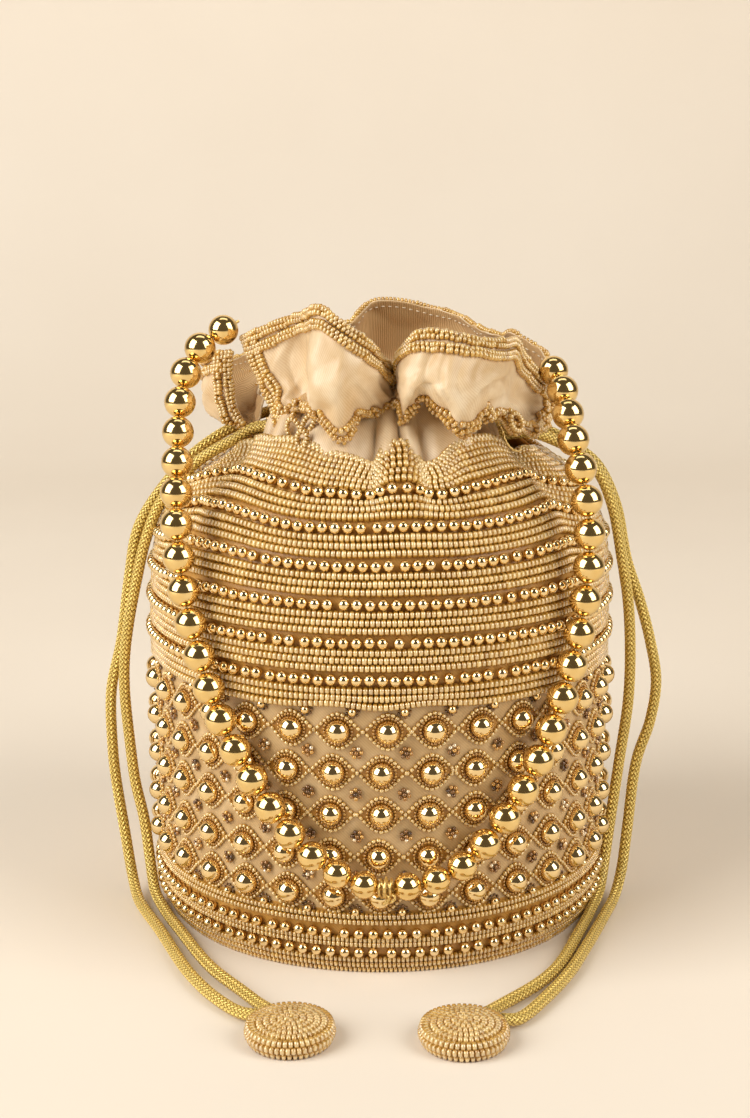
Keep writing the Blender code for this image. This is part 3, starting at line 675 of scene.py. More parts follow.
# ---- the body's face -----------------------------------------------------------------------------
def softened(table, low, high, blur):
    """A profile table on a fine even scale, its corners rounded off."""
    step = 0.25
    scale = np.arange(low - 6 * blur, high + 6 * blur, step)
    values = np.interp(scale, *np.array(table, float).T)
    reach = np.arange(-3 * blur, 3 * blur + step, step)
    weights = np.exp(-0.5 * (reach / blur) ** 2)
    return scale, np.convolve(values, weights / weights.sum(), mode="same")


SIDE_SCALE = softened(SIDE_PROFILE, -2, 182, 2.6)
FRONT_SCALE = softened(FRONT_PROFILE, -2, 182, 2.6)
WAVE_SCALE = softened([(a - 360, h) for a, h in TOP_WAVES] + TOP_WAVES + [(a + 360, h) for a, h in TOP_WAVES],
                      -190, 190, 1.1)
SWING_SCALE = softened([(a - 360, h) for a, h in SWINGS] + SWINGS + [(a + 360, h) for a, h in SWINGS],
                       -190, 190, 3.0)


def body_face(angle, row):
    """Points (mm) of the beaded cloth's outer face at angles (radians) and rows."""
    angle, row = np.broadcast_arrays(np.asarray(angle, float), np.asarray(row, float))
    round_share = np.abs(np.sin(angle)) ** 1.6
    degrees = np.degrees((angle + math.pi) % math.tau - math.pi)
    share = np.clip((row - YOKE_ROW) / (TOP_ROW - YOKE_ROW), 0, None)
    top_share = np.clip((row - (TOP_ROW - 20)) / 20, 0, None) ** 1.5
    swing = np.interp(row, SWING_ROWS, (0, 1)) * np.interp(degrees, *SWING_SCALE)
    height = row + YOKE_RISE * share * round_share + np.interp(degrees, *WAVE_SCALE) * top_share + swing
    lift = SHOULDER_LIFT * np.clip(np.cos(angle), 0, None) ** 2 * np.interp(height, SHOULDER_ROWS, (0, 1))
    side = np.interp(height - lift, *SIDE_SCALE)
    front = np.interp(height, *FRONT_SCALE)
    radius = side + (front - side) * round_share
    for at, depth, width, start, full in FOLDS:
        off = (degrees - at + 180) % 360 - 180
        grown = np.clip((row - start) / (full - start), 0, 1)
        radius = radius - depth * grown ** 1.3 * np.exp(-0.5 * (off / width) ** 2)
    radius = radius + 0.35 * np.sin(5 * angle + 0.05 * row) * np.sin(0.06 * row + 1.3)
    return np.stack([radius * np.cos(angle), radius * np.sin(angle), height], axis=-1)


def face_out(angle, row):
    """The outward direction of the body's face."""
    turn, rise = 0.004, 0.4
    round_way = body_face(angle + turn, row) - body_face(angle - turn, row)
    up_way = body_face(angle, row + rise) - body_face(angle, row - rise)
    out = np.cross(round_way, up_way)
    return out / np.linalg.norm(out, axis=-1, keepdims=True)


def row_up_cloth(distance):
    """The row that lies that far up the cloth from the lowest gold row, at the front."""
    rows = np.linspace(60, TOP_ROW + 2, 800)
    front = np.stack([np.interp(rows + YOKE_RISE * np.clip((rows - YOKE_ROW) / 27.5, 0, None), *FRONT_SCALE),
                      rows + YOKE_RISE * np.clip((rows - YOKE_ROW) / 27.5, 0, None)], axis=1)
    lengths = lengths_of(front)
    return np.interp(distance + np.interp(LOW_GOLD_ROW, rows, lengths), lengths, rows)


def ring_of_beads(row, pitch, proud, start=0.0, wave=0.0, gaps=0.0):
    """Places a pitch apart round the body on one row, standing proud of the cloth."""
    angle = np.linspace(-math.pi, math.pi, 1441) + start
    wavy = row + wave * np.sin(9 * angle + 2.0 * np.sin(4 * angle))
    ring = body_face(angle, wavy)
    centres, along, out = spread_along(ring, pitch, [face_out(angle, wavy)], gaps)
    return centres + out * proud, along, out


# ---- pieces of the body --------------------------------------------------------------------------
def make_body_cloth():
    """The bag's cloth: dark ground under the bead rows, paler satin behind the lattice."""
    def place(across, up):
        angle = across * math.tau
        row = up * (TOP_ROW + 0.4)
        return body_face(angle, row) - face_out(angle, row) * 0.15

    mesh = shaped_grid("body_cloth", 180, 52, place, (0.5, 0.17))
    mesh_closed = bmesh.new()
    mesh_closed.from_mesh(mesh)
    bmesh.ops.remove_doubles(mesh_closed, verts=mesh_closed.verts, dist=0.00002)
    for face in mesh_closed.faces:
        height = face.calc_center_median().z / MM
        face.material_index = 1 if FOOT_SEED_ROWS[0] < height < UNDER_SEED_ROWS[-1] else 0
    mesh_closed.to_mesh(mesh)
    mesh_closed.free()
    piece = finish_piece("body_cloth", mesh, [GROUND, LATTICE_SATIN],
                         replaced=["beaded_body"])
    thicken(piece, 1.0)
    return piece


def make_bead_rows():
    """Rows of seed beads and of gold beads round the whole bag."""
    seed, gold = seed_shape(), bead_shape("ball", 10, 7)
    belt, yoke, foot, gold_rows = Beads(), Beads(), Beads(), Beads()
    for line in range(GOLD_ROWS):
        base = line * GOLD_ROW_GAP
        row = row_up_cloth(base)
        places, along, out = ring_of_beads(row, GOLD_PITCH, GOLD_BEAD * 0.47, random.uniform(0, 0.05), 0,
                                           GAP_SHARE)
        places = places + random.normal(0, 0.12, (len(places), 1)) * np.array([0, 0, 1.0])
        gold_rows.add(places, along, out, GOLD_BEAD, seed_tones(len(places)))
        steps = SEED_STEPS if line < GOLD_ROWS - 1 else [SEED_STEPS[0] + YOKE_SEED_STEP * i
                                                        for i in range(YOKE_SEED_ROWS)]
        for step in steps:
            row = row_up_cloth(base + step)
            if row > TOP_ROW - 0.3:
                row = TOP_ROW - 0.3
            places, along, out = ring_of_beads(row, SEED_PITCH, SEED_BEAD * 0.38, random.uniform(0, 0.05))
            target = belt if line < GOLD_ROWS - 1 else yoke
            target.add(places, along, out, SEED_BEAD * random.normal(1, 0.04, len(places)),
                       seed_tones(len(places), 0.55))
            if row >= TOP_ROW - 0.3:
                break
    for height, wave in zip(UNDER_SEED_ROWS, (0, 0.2, 0.6)):
        places, along, out = ring_of_beads(height, SEED_PITCH, SEED_BEAD * 0.38, 0.01, wave)
        yoke.add(places, along, out, SEED_BEAD, seed_tones(len(places), 0.55))
    for height in FOOT_SEED_ROWS:
        places, along, out = ring_of_beads(height, SEED_PITCH * 0.86, SEED_BEAD * 0.34,
                                           random.uniform(0, 0.05))
        foot.add(places, along, out, SEED_BEAD * 0.78, seed_tones(len(places), 0.5))
    for height in FOOT_GOLD_ROWS:
        places, along, out = ring_of_beads(height, FOOT_GOLD_PITCH, GOLD_BEAD * 0.42, random.uniform(0, 0.05),
                                           0, GAP_SHARE)
        gold_rows.add(places, along, out, GOLD_BEAD * 0.93, seed_tones(len(places)))
    belt.strew("seed_rows_belt", seed, SEED_GLASS, "gold_seed_beads")
    yoke.strew("seed_rows_yoke", seed, SEED_GLASS, "gold_seed_beads")
    foot.strew("seed_rows_foot", seed, SEED_GLASS, "gold_seed_beads")
    gold_rows.strew("gold_bead_rows", gold, GOLD_BEADS, "polished_gold")


def lattice_spots():
    """Angle and height of the middle of every eye of the lattice."""
    step = math.tau / LATTICE_COLUMNS
    for height, drift in zip(LATTICE_ROWS, LATTICE_DRIFT):
        for column in range(LATTICE_COLUMNS):
            yield math.radians(-90 + drift) + step * column + random.normal(0, 0.003), height


def on_cloth(angle, height, x, y, proud):
    """Places and outward directions for offsets x and y (mm) round a spot of the straight wall."""
    turned = angle + x / WALL_RADIUS
    return body_face(turned, height + y) + face_out(turned, height + y) * proud, face_out(turned, height + y)


def eye_outline(count):
    """Points of an eye's outline: pointed at its left and right, rounded above and below."""
    turn = np.linspace(0, math.tau, 361)
    x = EYE_HALF_WIDTH * (2 / math.pi * np.arcsin(np.cos(turn)))
    y = EYE_HALF_HEIGHT * np.sign(np.sin(turn)) * np.cos(math.pi / 2 * x / EYE_HALF_WIDTH) ** 1.25
    loop = np.stack([x, y], axis=1)
    lengths = lengths_of(loop)
    at = np.arange(count) * lengths[-1] / count
    return np.interp(at, lengths, x), np.interp(at, lengths, y)


def make_lattice():
    """Eyes of fine beads round gold studs, clusters between them, and bronze satin inside each eye."""
    fine, stud, small_stud = bead_shape("round"), bead_shape("dome", 16, 10), bead_shape("ball", 8, 6)
    outline_count = int(round(EYE_ROUND / FINE_PITCH))
    ring_count = int(round(math.tau * RING_RADIUS / RING_PITCH))
    outlines, rings, studs, clusters, plain = Beads(), Beads(), Beads(), Beads(), Beads()
    for angle, height in lattice_spots():
        x, y = eye_outline(outline_count)
        places, out = on_cloth(angle, height, x, y, 0.45)
        along = np.roll(places, -1, axis=0) - np.roll(places, 1, axis=0)
        outlines.add(places, along, out, FINE_BEAD, seed_tones(len(x), 0.6))
        turn = np.arange(ring_count) * math.tau / ring_count
        places, out = on_cloth(angle, height, RING_RADIUS * np.cos(turn), RING_RADIUS * np.sin(turn), 0.4)
        along = np.roll(places, -1, axis=0) - np.roll(places, 1, axis=0)
        rings.add(places, along, out, RING_BEAD, seed_tones(ring_count, 0.5))
        place, out = on_cloth(angle, height, np.zeros(1), np.zeros(1), 0.8)
        studs.add(place, np.array([[0, 0, 1.0]]), out, STUD_RADIUS * 2 * random.normal(1, 0.015), 0.5)
    step = math.tau / LATTICE_COLUMNS
    heights = [(a + b) / 2 for a, b in zip(LATTICE_ROWS, LATTICE_ROWS[1:])]
    for height in heights:
        for column in range(LATTICE_COLUMNS):
            angle = math.radians(-90) + step * (column + 0.5) + random.normal(0, 0.003)
            turn = np.arange(6) * math.tau / 6 + random.uniform(0, 1)
            x = np.append(1.55 * np.cos(turn), 0)
            y = np.append(1.55 * np.sin(turn), 0)
            places, out = on_cloth(angle, height, x, y, 0.75)
            places[-1] += out[-1] * 0.5
            clusters.add(places, np.cross(out, (0, 0, 1.0)), out, 1.65, random.random(7))
    for height, size in ((LATTICE_ROWS[0] + 6.8, 3.0), (LATTICE_ROWS[-1] - 5.3, 2.9)):
        for column in range(LATTICE_COLUMNS):
            angle = math.radians(-90.4) + step * (column + 0.5) + random.normal(0, 0.004)
            place, out = on_cloth(angle, height, np.zeros(1), np.zeros(1), 1.0)
            plain.add(place, np.cross(out, (0, 0, 1.0)), out, size, 0.5)
            turn = np.arange(9) * math.tau / 9
            places, out = on_cloth(angle, height, 2.0 * np.cos(turn), 2.0 * np.sin(turn), 0.3)
            clusters.add(places, np.cross(out, (0, 0, 1.0)), out, 1.1, 0.25 * random.random(9))
    outlines.strew("lattice_outlines", bead_shape("barrel", length=1.45), FINE_GLASS, "gold_seed_beads")
    rings.strew("lattice_rings", fine, DARK_GLASS, "gold_seed_beads")
    studs.strew("lattice_studs", stud, GOLD_BEADS, "polished_gold")
    clusters.strew("lattice_clusters", fine, MIXED_GLASS, "polished_gold")
    plain.strew("lattice_plain_beads", small_stud, GOLD_BEADS, "polished_gold")
    make_eye_inlays()


def make_eye_inlays():
    """A thin patch of bronze satin inside every eye."""
    x, y = eye_outline(20)
    shape = bmesh.new()
    layer = shape.loops.layers.uv.new("UVMap")
    for angle, height in lattice_spots():
        patch = bmesh.ops.create_circle(shape, cap_ends=True, cap_tris=True, segments=20, radius=1.0)
        rim = sorted((v for v in patch["verts"] if v.co.length > 0.5),
                     key=lambda v: math.atan2(v.co.y, v.co.x) % math.tau)
        places = on_cloth(angle, height, x * 0.96, y * 0.96, 0.18)[0]
        for vertex, point in zip(rim, places):
            vertex.co = point * MM
        middle = [v for v in patch["verts"] if v not in rim][0]
        middle.co = on_cloth(angle, height, np.zeros(1), np.zeros(1), 0.22)[0][0] * MM
    for face in shape.faces:
        for loop in face.loops:
            co = loop.vert.co
            loop[layer].uv = (math.atan2(co.y, co.x) * WALL_RADIUS * MM, co.z)
    bmesh.ops.recalc_face_normals(shape, faces=shape.faces)
    for face in shape.faces:
        centre = face.calc_center_median()
        if face.normal.dot(Vector((centre.x, centre.y, 0))) < 0:
            face.normal_flip()
    mesh = mesh_from("lattice_inlays", shape)
    finish_piece("lattice_inlays", mesh, [EYE_SATIN])


# ---- the neck and the frill ----------------------------------------------------------------------
def puff(degrees, creases, power=2.4):
    """0 in each crease and 1 half way to the next one."""
    share = np.interp(degrees, creases, np.arange(len(creases)))
    return 1 - np.abs(2 * (share % 1) - 1) ** power


def make_neck_band(name, creases, replaced=()):
    """The satin between the beaded edge and the frill, gathered into soft puffs."""
    def place(across, up):
        degrees = creases[0] + (creases[-1] - creases[0]) * across
        angle = np.radians(degrees)
        low = body_face(angle, TOP_ROW - 4) - face_out(angle, TOP_ROW - 4) * 1.9
        low_radius = np.hypot(low[:, 0], low[:, 1])
        swell = puff(degrees, creases)
        radius = low_radius + (42.5 - low_radius) * up
        belly = np.sin(math.pi * up ** 0.8)
        middle = np.clip((60 - np.abs(np.abs(degrees) - 90)) / 22, 0, 1)
        radius += belly * middle * (0.6 + 4.4 * swell) - 2.4 * (1 - swell) * belly
        height = low[:, 2] + (NECK_BAND_TOP - low[:, 2]) * up
        ripple = 0.4 * np.sin(degrees * 0.7 + 4 * up) * np.sin(degrees * 0.31 - 7 * up) * belly
        return polar(radius + ripple, angle, height)

    mesh = shaped_grid(name, 170, 20, place, NECK_BAND_CUT)
    piece = finish_piece(name, mesh, [SATIN], replaced=replaced)
    thicken(piece, 0.5)
    return piece


def column_surface(columns):
    """A smooth surface through the columns' points, as a function of across and up (both 0 to 1)."""
    net = np.array(columns, float)
    turned_in = net[:, :1].copy()
    angle = np.arctan2(net[:, 0, 1], net[:, 0, 0])
    turned_in[:, 0, 0] = NECK_HEM_RADIUS * np.cos(angle)
    turned_in[:, 0, 1] = NECK_HEM_RADIUS * np.sin(angle)
    turned_in[:, 0, 2] = np.maximum(net[:, 0, 2] + 4, NECK_HEM_HEIGHT)
    net = np.concatenate([turned_in, net], axis=1)

    def spline(values, at, axis):
        """Catmull-Rom reading of the net along one axis."""
        count = values.shape[axis]
        place = np.clip(at, 0, 1) * (count - 1)
        index = np.minimum(place.astype(int), count - 2)
        t = place - index
        reach = [np.clip(index + k, 0, count - 1) for k in (-1, 0, 1, 2)]
        weights = (-0.5 * t + t ** 2 - 0.5 * t ** 3, 1 - 2.5 * t ** 2 + 1.5 * t ** 3,
                   0.5 * t + 2 * t ** 2 - 1.5 * t ** 3, -0.5 * t ** 2 + 0.5 * t ** 3)
        return reach, weights

    def surface(across, up):
        columns_at, column_weights = spline(net, across, 0)
        rows_at, row_weights = spline(net, up, 1)
        total = 0
        for ci, cw in zip(columns_at, column_weights):
            for ri, rw in zip(rows_at, row_weights):
                total = total + net[ci, ri] * (cw * rw)[:, None]
        return total

    return surface


def wrinkled(surface, seed):
    """The same surface with fine soft wrinkles, strongest near the gathers at the foot."""
    phases = np.random.default_rng(seed).uniform(0, math.tau, 6)

    def wavy(across, up):
        points = surface(across, up)
        e = 0.004
        round_way = surface(np.clip(across + e, 0, 1), up) - surface(np.clip(across - e, 0, 1), up)
        up_way = surface(across, np.clip(up + e, 0, 1)) - surface(across, np.clip(up - e, 0, 1))
        out = np.cross(round_way, up_way)
        out /= np.linalg.norm(out, axis=1, keepdims=True) + 1e-9
        gather = np.clip(1.25 - up, 0, 1) * np.clip(up * 5, 0, 1)
        lean = across * 24 + 2.2 * np.sin(up * 4 + phases[0])
        ridge = 1 - np.abs(np.sin(lean * math.pi + phases[1])) ** 0.7
        shift = 1.7 * gather * ridge * np.sin(across * 11 + phases[2])
        fold = across * 9 - 3.2 * up + phases[3]
        shift += 2.1 * gather * (1 - np.abs(np.sin(fold * math.pi)) ** 0.6) * np.sin(across * 17 + phases[4])
        low = np.clip(1.15 - up, 0, 1) * np.clip(up * 5, 0, 1)
        shift += 1.2 * np.sin(across * 37 + 5 * up + phases[5]) * low
        shift += 0.3 * np.sin(across * 62 + 17 * up + phases[4]) * np.sin(up * 14 - across * 21 + phases[5])
        return points + out * shift[:, None]

    return wavy


def surface_line(surface, fixed, count=1500, across=True):
    """A line on the surface, with its outward directions. fixed is the up (or across) of each point."""
    run = np.linspace(0, 1, count)
    fixed = np.broadcast_to(fixed, count)
    a, u = (run, fixed) if across else (fixed, run)
    e = 0.002
    points = surface(a, u)
    round_way = surface(np.clip(a + e, 0, 1), u) - surface(np.clip(a - e, 0, 1), u)
    up_way = surface(a, np.clip(u + e, 0, 1)) - surface(a, np.clip(u - e, 0, 1))
    out = np.cross(round_way, up_way)
    return points, out / (np.linalg.norm(out, axis=1, keepdims=True) + 1e-9)


def up_at_distance(surface, distance, count=1500):
    """For each point across, the up at which the surface is that far below its rim."""
    ups = np.linspace(1, 0.2, 60)
    run = np.linspace(0, 1, count)
    grid = np.stack([surface(run, np.full(count, u)) for u in ups], axis=0)
    lengths = np.concatenate([np.zeros((1, count)),
                              np.cumsum(np.linalg.norm(np.diff(grid, axis=0), axis=2), axis=0)])
    return np.array([np.interp(distance, lengths[:, i], ups) for i in range(count)])


def across_at_distance(surface, distance, end, count=400):
    """For each point up, the across at which the surface is that far from its left or right end."""
    runs = np.linspace(0, 0.12, 50) if end == 0 else np.linspace(1, 0.88, 50)
    ups = np.linspace(0.25, 1, count)
    grid = np.stack([surface(np.full(count, r), ups) for r in runs], axis=0)
    lengths = np.concatenate([np.zeros((1, count)),
                              np.cumsum(np.linalg.norm(np.diff(grid, axis=0), axis=2), axis=0)])
    return np.array([np.interp(distance, lengths[:, i], runs) for i in range(count)])


def add_line(beads, line, proud, size=SEED_BEAD * 0.79, pitch=SEED_PITCH * 0.84, middle=0.6):
    points, out = line
    centres, along, outward = spread_along(points, pitch, [out])
    outward /= np.linalg.norm(outward, axis=1, keepdims=True)
    beads.add(centres + outward * proud, along, outward, size, seed_tones(len(centres), middle))


def make_frill(name, columns, seed, flat, replaced):
    """One flap of the frill with its beaded borders and the piping along its foot."""
    surface = wrinkled(column_surface(columns), seed)
    mesh = shaped_grid(name, 200, 34, surface, (flat[0], flat[1]))
    piece = finish_piece(name, mesh, [SATIN, LINING_CLOTH], replaced=replaced)
    thicken(piece, 0.8, inner_material=1)
    border, piping = Beads(), Beads()
    for distance in BORDER_LINES:
        add_line(border, surface_line(surface, up_at_distance(surface, distance)), 0.65)
    for end in (0, 1):
        for distance in BORDER_LINES:
            count = 400
            fixed = across_at_distance(surface, distance, end, count)
            ups = np.linspace(0.25, 1, count)
            e = 0.002
            points = surface(fixed, ups)
            out = np.cross(surface(np.clip(fixed + e, 0, 1), ups) - surface(np.clip(fixed - e, 0, 1), ups),
                           surface(fixed, np.clip(ups + e, 0, 1)) - surface(fixed, np.clip(ups - e, 0, 1)))
            add_line(border, (points, out / (np.linalg.norm(out, axis=1, keepdims=True) + 1e-9)), 0.65)
    for share in PIPING_LINES:
        add_line(piping, surface_line(surface, share), 0.7, middle=0.45)
    edging = border.strew(f"{name}_border", seed_shape(), SEED_GLASS, "gold_seed_beads")
    cording = piping.strew(f"{name}_piping", seed_shape(), SEED_GLASS, "gold_seed_beads")
    return surface


def make_stitches(surface):
    """The light running stitch inside the back flap, a little below its rim."""
    count = 1500
    points, out = surface_line(surface, up_at_distance(surface, 2.6, count), count)
    lengths = lengths_of(points)
    shape = bmesh.new()
    stitch, period = 1.7, 2.8
    for number in range(int(lengths[-1] / period)):
        at = number * period + stitch / 2
        centre = np.array([np.interp(at, lengths, points[:, i]) for i in range(3)])
        ahead = np.array([np.interp(at + 0.5, lengths, points[:, i]) for i in range(3)]) - centre
        inward = -np.array([np.interp(at, lengths, out[:, i]) for i in range(3)])
        centre = centre + inward * 0.95
        turn = Vector(ahead).to_track_quat("X", "Z").to_matrix().to_4x4()
        size = Matrix.Diagonal((stitch * MM, 0.45 * MM, 0.45 * MM, 1))
        place = Matrix.Translation(Vector(centre) * MM) @ turn @ size
        bmesh.ops.create_uvsphere(shape, u_segments=6, v_segments=4, radius=0.5, matrix=place)
    mesh = mesh_from("rim_stitches", shape)
    finish_piece("rim_stitches", mesh, [STITCH])


def make_lining():
    """The ribbed lining bag, from its floor up the walls and in through the gathered neck."""
    path = [(0.0, 4.6), (40, 4.6), (72, 4.7), (75.6, 6.5), (77.6, 12), (78.0, 30), (78.2, 100), (77.4, 118),
            (74.5, 134), (69.5, 145), (61, 155), (50, 163), (43, 168), (40.4, 173), (40.2, 180), (41.5, 186)]
    spine = np.array([(p.x, p.z) for p in smooth_curve([Vector((r, 0, z)) for r, z in path], 6)])
    lengths = lengths_of(spine)

    def place(across, up):
        angle = across * math.tau
        radius = np.interp(up * lengths[-1], lengths, spine[:, 0])
        height = np.interp(up * lengths[-1], lengths, spine[:, 1])
        neck = np.clip((height - 140) / 35, 0, 1)
        pleat = 1.5 * neck * (0.5 - 0.5 * np.cos(22 * angle + 1.5 * np.sin(3 * angle)))
        radius = np.maximum(radius - pleat, 0) * (1 - 0.02 * neck)
        return polar(radius, angle, height)

    mesh = shaped_grid("lining_bag", 176, 56, place, (0.5, 0.26), closed=True)
    inside = bmesh.new()
    inside.from_mesh(mesh)
    bmesh.ops.recalc_face_normals(inside, faces=inside.faces)
    outward = sum(f.normal.dot(Vector((f.calc_center_median().x, f.calc_center_median().y, 0)))
                  for f in inside.faces)
    if outward < 0:
        bmesh.ops.reverse_faces(inside, faces=inside.faces)
    inside.to_mesh(mesh)
    inside.free()
    piece = finish_piece("lining_bag", mesh, [LINING_CLOTH], replaced=["lining"])
    thicken(piece, 0.6)


# ---- cords, discs and handle ---------------------------------------------------------------------
def braided_tube(name, curve, radius, sides, step, materials, replaced):
    """A braided cord along a curve (mm): raised strands cross over and under on a round core."""
    lengths = lengths_of(curve)
    rows = int(lengths[-1] / step)
    at = np.linspace(0, lengths[-1], rows + 1)
    centre = np.stack([np.interp(at, lengths, curve[:, i]) for i in range(3)], axis=1)
    ahead = np.gradient(centre, axis=0)
    ahead /= np.linalg.norm(ahead, axis=1, keepdims=True)
    side = np.zeros_like(ahead)
    last = np.cross(ahead[0], (0.3, 0.2, 1.0))
    for i, direction in enumerate(ahead):
        last = last - direction * np.dot(last, direction)
        last = last / np.linalg.norm(last)
        side[i] = last
    other = np.cross(ahead, side)

    def place(across, up):
        index = np.clip(np.round(up * rows).astype(int), 0, rows)
        turn = across * math.tau
        along = at[index] / radius
        lean = BRAID_STRANDS / 2 * turn + BRAID_TURN * along
        back = BRAID_STRANDS / 2 * turn - BRAID_TURN * along
        raised = np.where(np.sin(lean) * np.sin(back) > 0, np.abs(np.sin(back)), np.abs(np.sin(lean)))
        size = radius * (0.93 + 0.07 * raised)
        return centre[index] + (side[index] * np.cos(turn)[:, None]
                                + other[index] * np.sin(turn)[:, None]) * size[:, None]

    mesh = shaped_grid(name, sides, rows, place, (1.0, lengths[-1] / radius), closed=True, capped=True)
    return finish_piece(name, mesh, materials, replaced=replaced), centre


def loop_points(side):
    """Points of a drawstring's run round the neck (mm), in order from its front end to its back end."""
    if side == "left":
        start, end = 180 + LOOP_FRONT_ANGLE, 540 - LOOP_BACK_ANGLE
    else:
        start, end = 360 - LOOP_FRONT_ANGLE, LOOP_BACK_ANGLE
    angles = np.radians(np.linspace(start, end, 121))
    return polar(LOOP_RADIUS, angles, LOOP_HEIGHTS[side])


def make_drawstrings():
    """The two runs round the neck and the four free ends, down to the discs."""
    for side in ("left", "right"):
        run = loop_points(side)
        braided_tube(f"{side}_run_braid", run, CORD_DIAMETER / 2, 16, 0.9, [BRAID],
                     [f"{side}_drawstring_run"])
        for where, end, inside in (("front", run[0], run[1]), ("back", run[-1], run[-2])):
            key = f"{side}_{where}"
            start = end + (end - inside) / np.linalg.norm(end - inside) * 3 * GAP
            route = [Vector(start), *[Vector(p) for p in CORD_ROUTES[key]]]
            centre = Vector((*DISC_CENTRES[side], 0))
            inward = centre - route[-1]
            inward.z = 0
            last = centre - inward.normalized() * (DISC_RADIUS + GAP)
            last.z = DISC_HEIGHT / 2
            curve = np.array(smooth_curve([*route, last], 24))
            piece, path = braided_tube(f"{key}_braid", curve, CORD_DIAMETER / 2, 24, 0.62, [BRAID],
                                       [f"{key}_cord"])
            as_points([tuple(p * MM) for p in path[::4]] + [tuple(path[-1] * MM)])


def make_disc(side):
    """A padded disc covered with seed beads, in a spiral on its top and in rings round its edge."""
    x, y = DISC_CENTRES[side]
    profile = [(0, DISC_HEIGHT - 1.1), (8.5, DISC_HEIGHT - 1.5), (11.6, DISC_HEIGHT - 2.6), (12.9, 3.8),
               (12.4, 1.8), (10.4, 0.4), (0, 0.3)]
    shape = lathe([(r * MM, z * MM) for r, z in profile], 48, False, 0.00002)
    bmesh.ops.translate(shape, vec=(x * MM, y * MM, 0), verts=shape.verts)
    mesh = mesh_from(f"{side}_disc_pad", shape)
    pad = finish_piece(f"{side}_disc_pad", mesh, [GROUND],
                       replaced=[f"{side}_end_disc"])
    beads = Beads()
    centre = np.array([x, y, 0.0])
    turns, pitch = 5.6, 2.15
    t = np.linspace(0.35, turns, 600)
    reach = t * pitch
    spiral = polar(reach, t * math.tau + 0.7, DISC_HEIGHT - 0.75 - 0.012 * reach ** 2) + centre
    out = polar(0.02 * reach, t * math.tau, 1.0)
    add_line(beads, (spiral, out), 0.0, SEED_BEAD * 0.95, SEED_PITCH * 0.95, 0.6)
    for radius, height, lean in ((12.6, 5.1, 0.5), (13.0, 3.2, 0.0), (12.3, 1.45, -0.45)):
        turn = np.linspace(0, math.tau, 200)
        ring = polar(radius, turn, height) + centre
        add_line(beads, (ring, polar(1.0, turn, lean)), 0.0, SEED_BEAD * 0.95, SEED_PITCH * 0.95, 0.5)
    beads.strew(f"{side}_disc_beads", seed_shape(), FINE_GLASS, "gold_seed_beads")
    return pad


def ball_centres():
    """Centre and radius of every ball of the strand, from the frame's own nodes, in metres."""
    found = []
    for name in sorted(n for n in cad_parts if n.startswith("handle_ball_")):
        points = np.array([v.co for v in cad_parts[name].data.vertices])
        low, high = points.min(0), points.max(0)
        centre = (low + high) / 2
        found.append((name, Vector(centre), float(np.linalg.norm(points - centre, axis=1).max())))
    return found


def make_balls():
    """A smooth drilled ball for each ball of the strand, turned so that its hole follows the strand."""
    balls = ball_centres()
    for index, (name, centre, radius) in enumerate(balls):
        before = balls[max(index - 1, 0)][1]
        after = balls[min(index + 1, len(balls) - 1)][1]
        hole = 0.85 * MM
        top = math.asin(hole / radius)
        angles = [top + 0.06 + (math.pi - 2 * top - 0.12) * i / 18 for i in range(19)]
        profile = [(hole, radius * 0.80), (hole, radius * 0.975)]
        profile += [(radius * math.sin(a), radius * math.cos(a)) for a in angles]
        profile += [(hole, -radius * 0.975), (hole, -radius * 0.80)]
        shape = lathe(profile, 24, True, 0.00001)
        turn = (after - before).to_track_quat("Z", "Y").to_matrix().to_4x4()
        bmesh.ops.transform(shape, matrix=Matrix.Translation(centre) @ turn, verts=shape.verts)
        mesh = mesh_from(f"{name}_plated", shape)
        finish_piece(f"{name}_plated", mesh, [GOLD], "handle", [name])


def fine_thread(name, points, radius, sides, body="bag", replaced=()):
    """A thin round thread along points (mm)."""
    curve = np.array(smooth_curve([Vector(p) for p in points], 6))
    rows = len(curve) - 1
    ahead = np.gradient(curve, axis=0)
    ahead /= np.linalg.norm(ahead, axis=1, keepdims=True)
    side = np.zeros_like(ahead)
    last = np.cross(ahead[0], (0.31, 0.52, 0.8))
    for i, direction in enumerate(ahead):
        last = last - direction * np.dot(last, direction)
        last = last / np.linalg.norm(last)
        side[i] = last
    other = np.cross(ahead, side)

    def place(across, up):
        index = np.clip(np.round(up * rows).astype(int), 0, rows)
        turn = across * math.tau
        return curve[index] + (side[index] * np.cos(turn)[:, None]
                               + other[index] * np.sin(turn)[:, None]) * radius

    mesh = shaped_grid(name, sides, rows, place, (1, 1), closed=True, capped=True)
    return finish_piece(name, mesh, [THREAD], body, replaced)


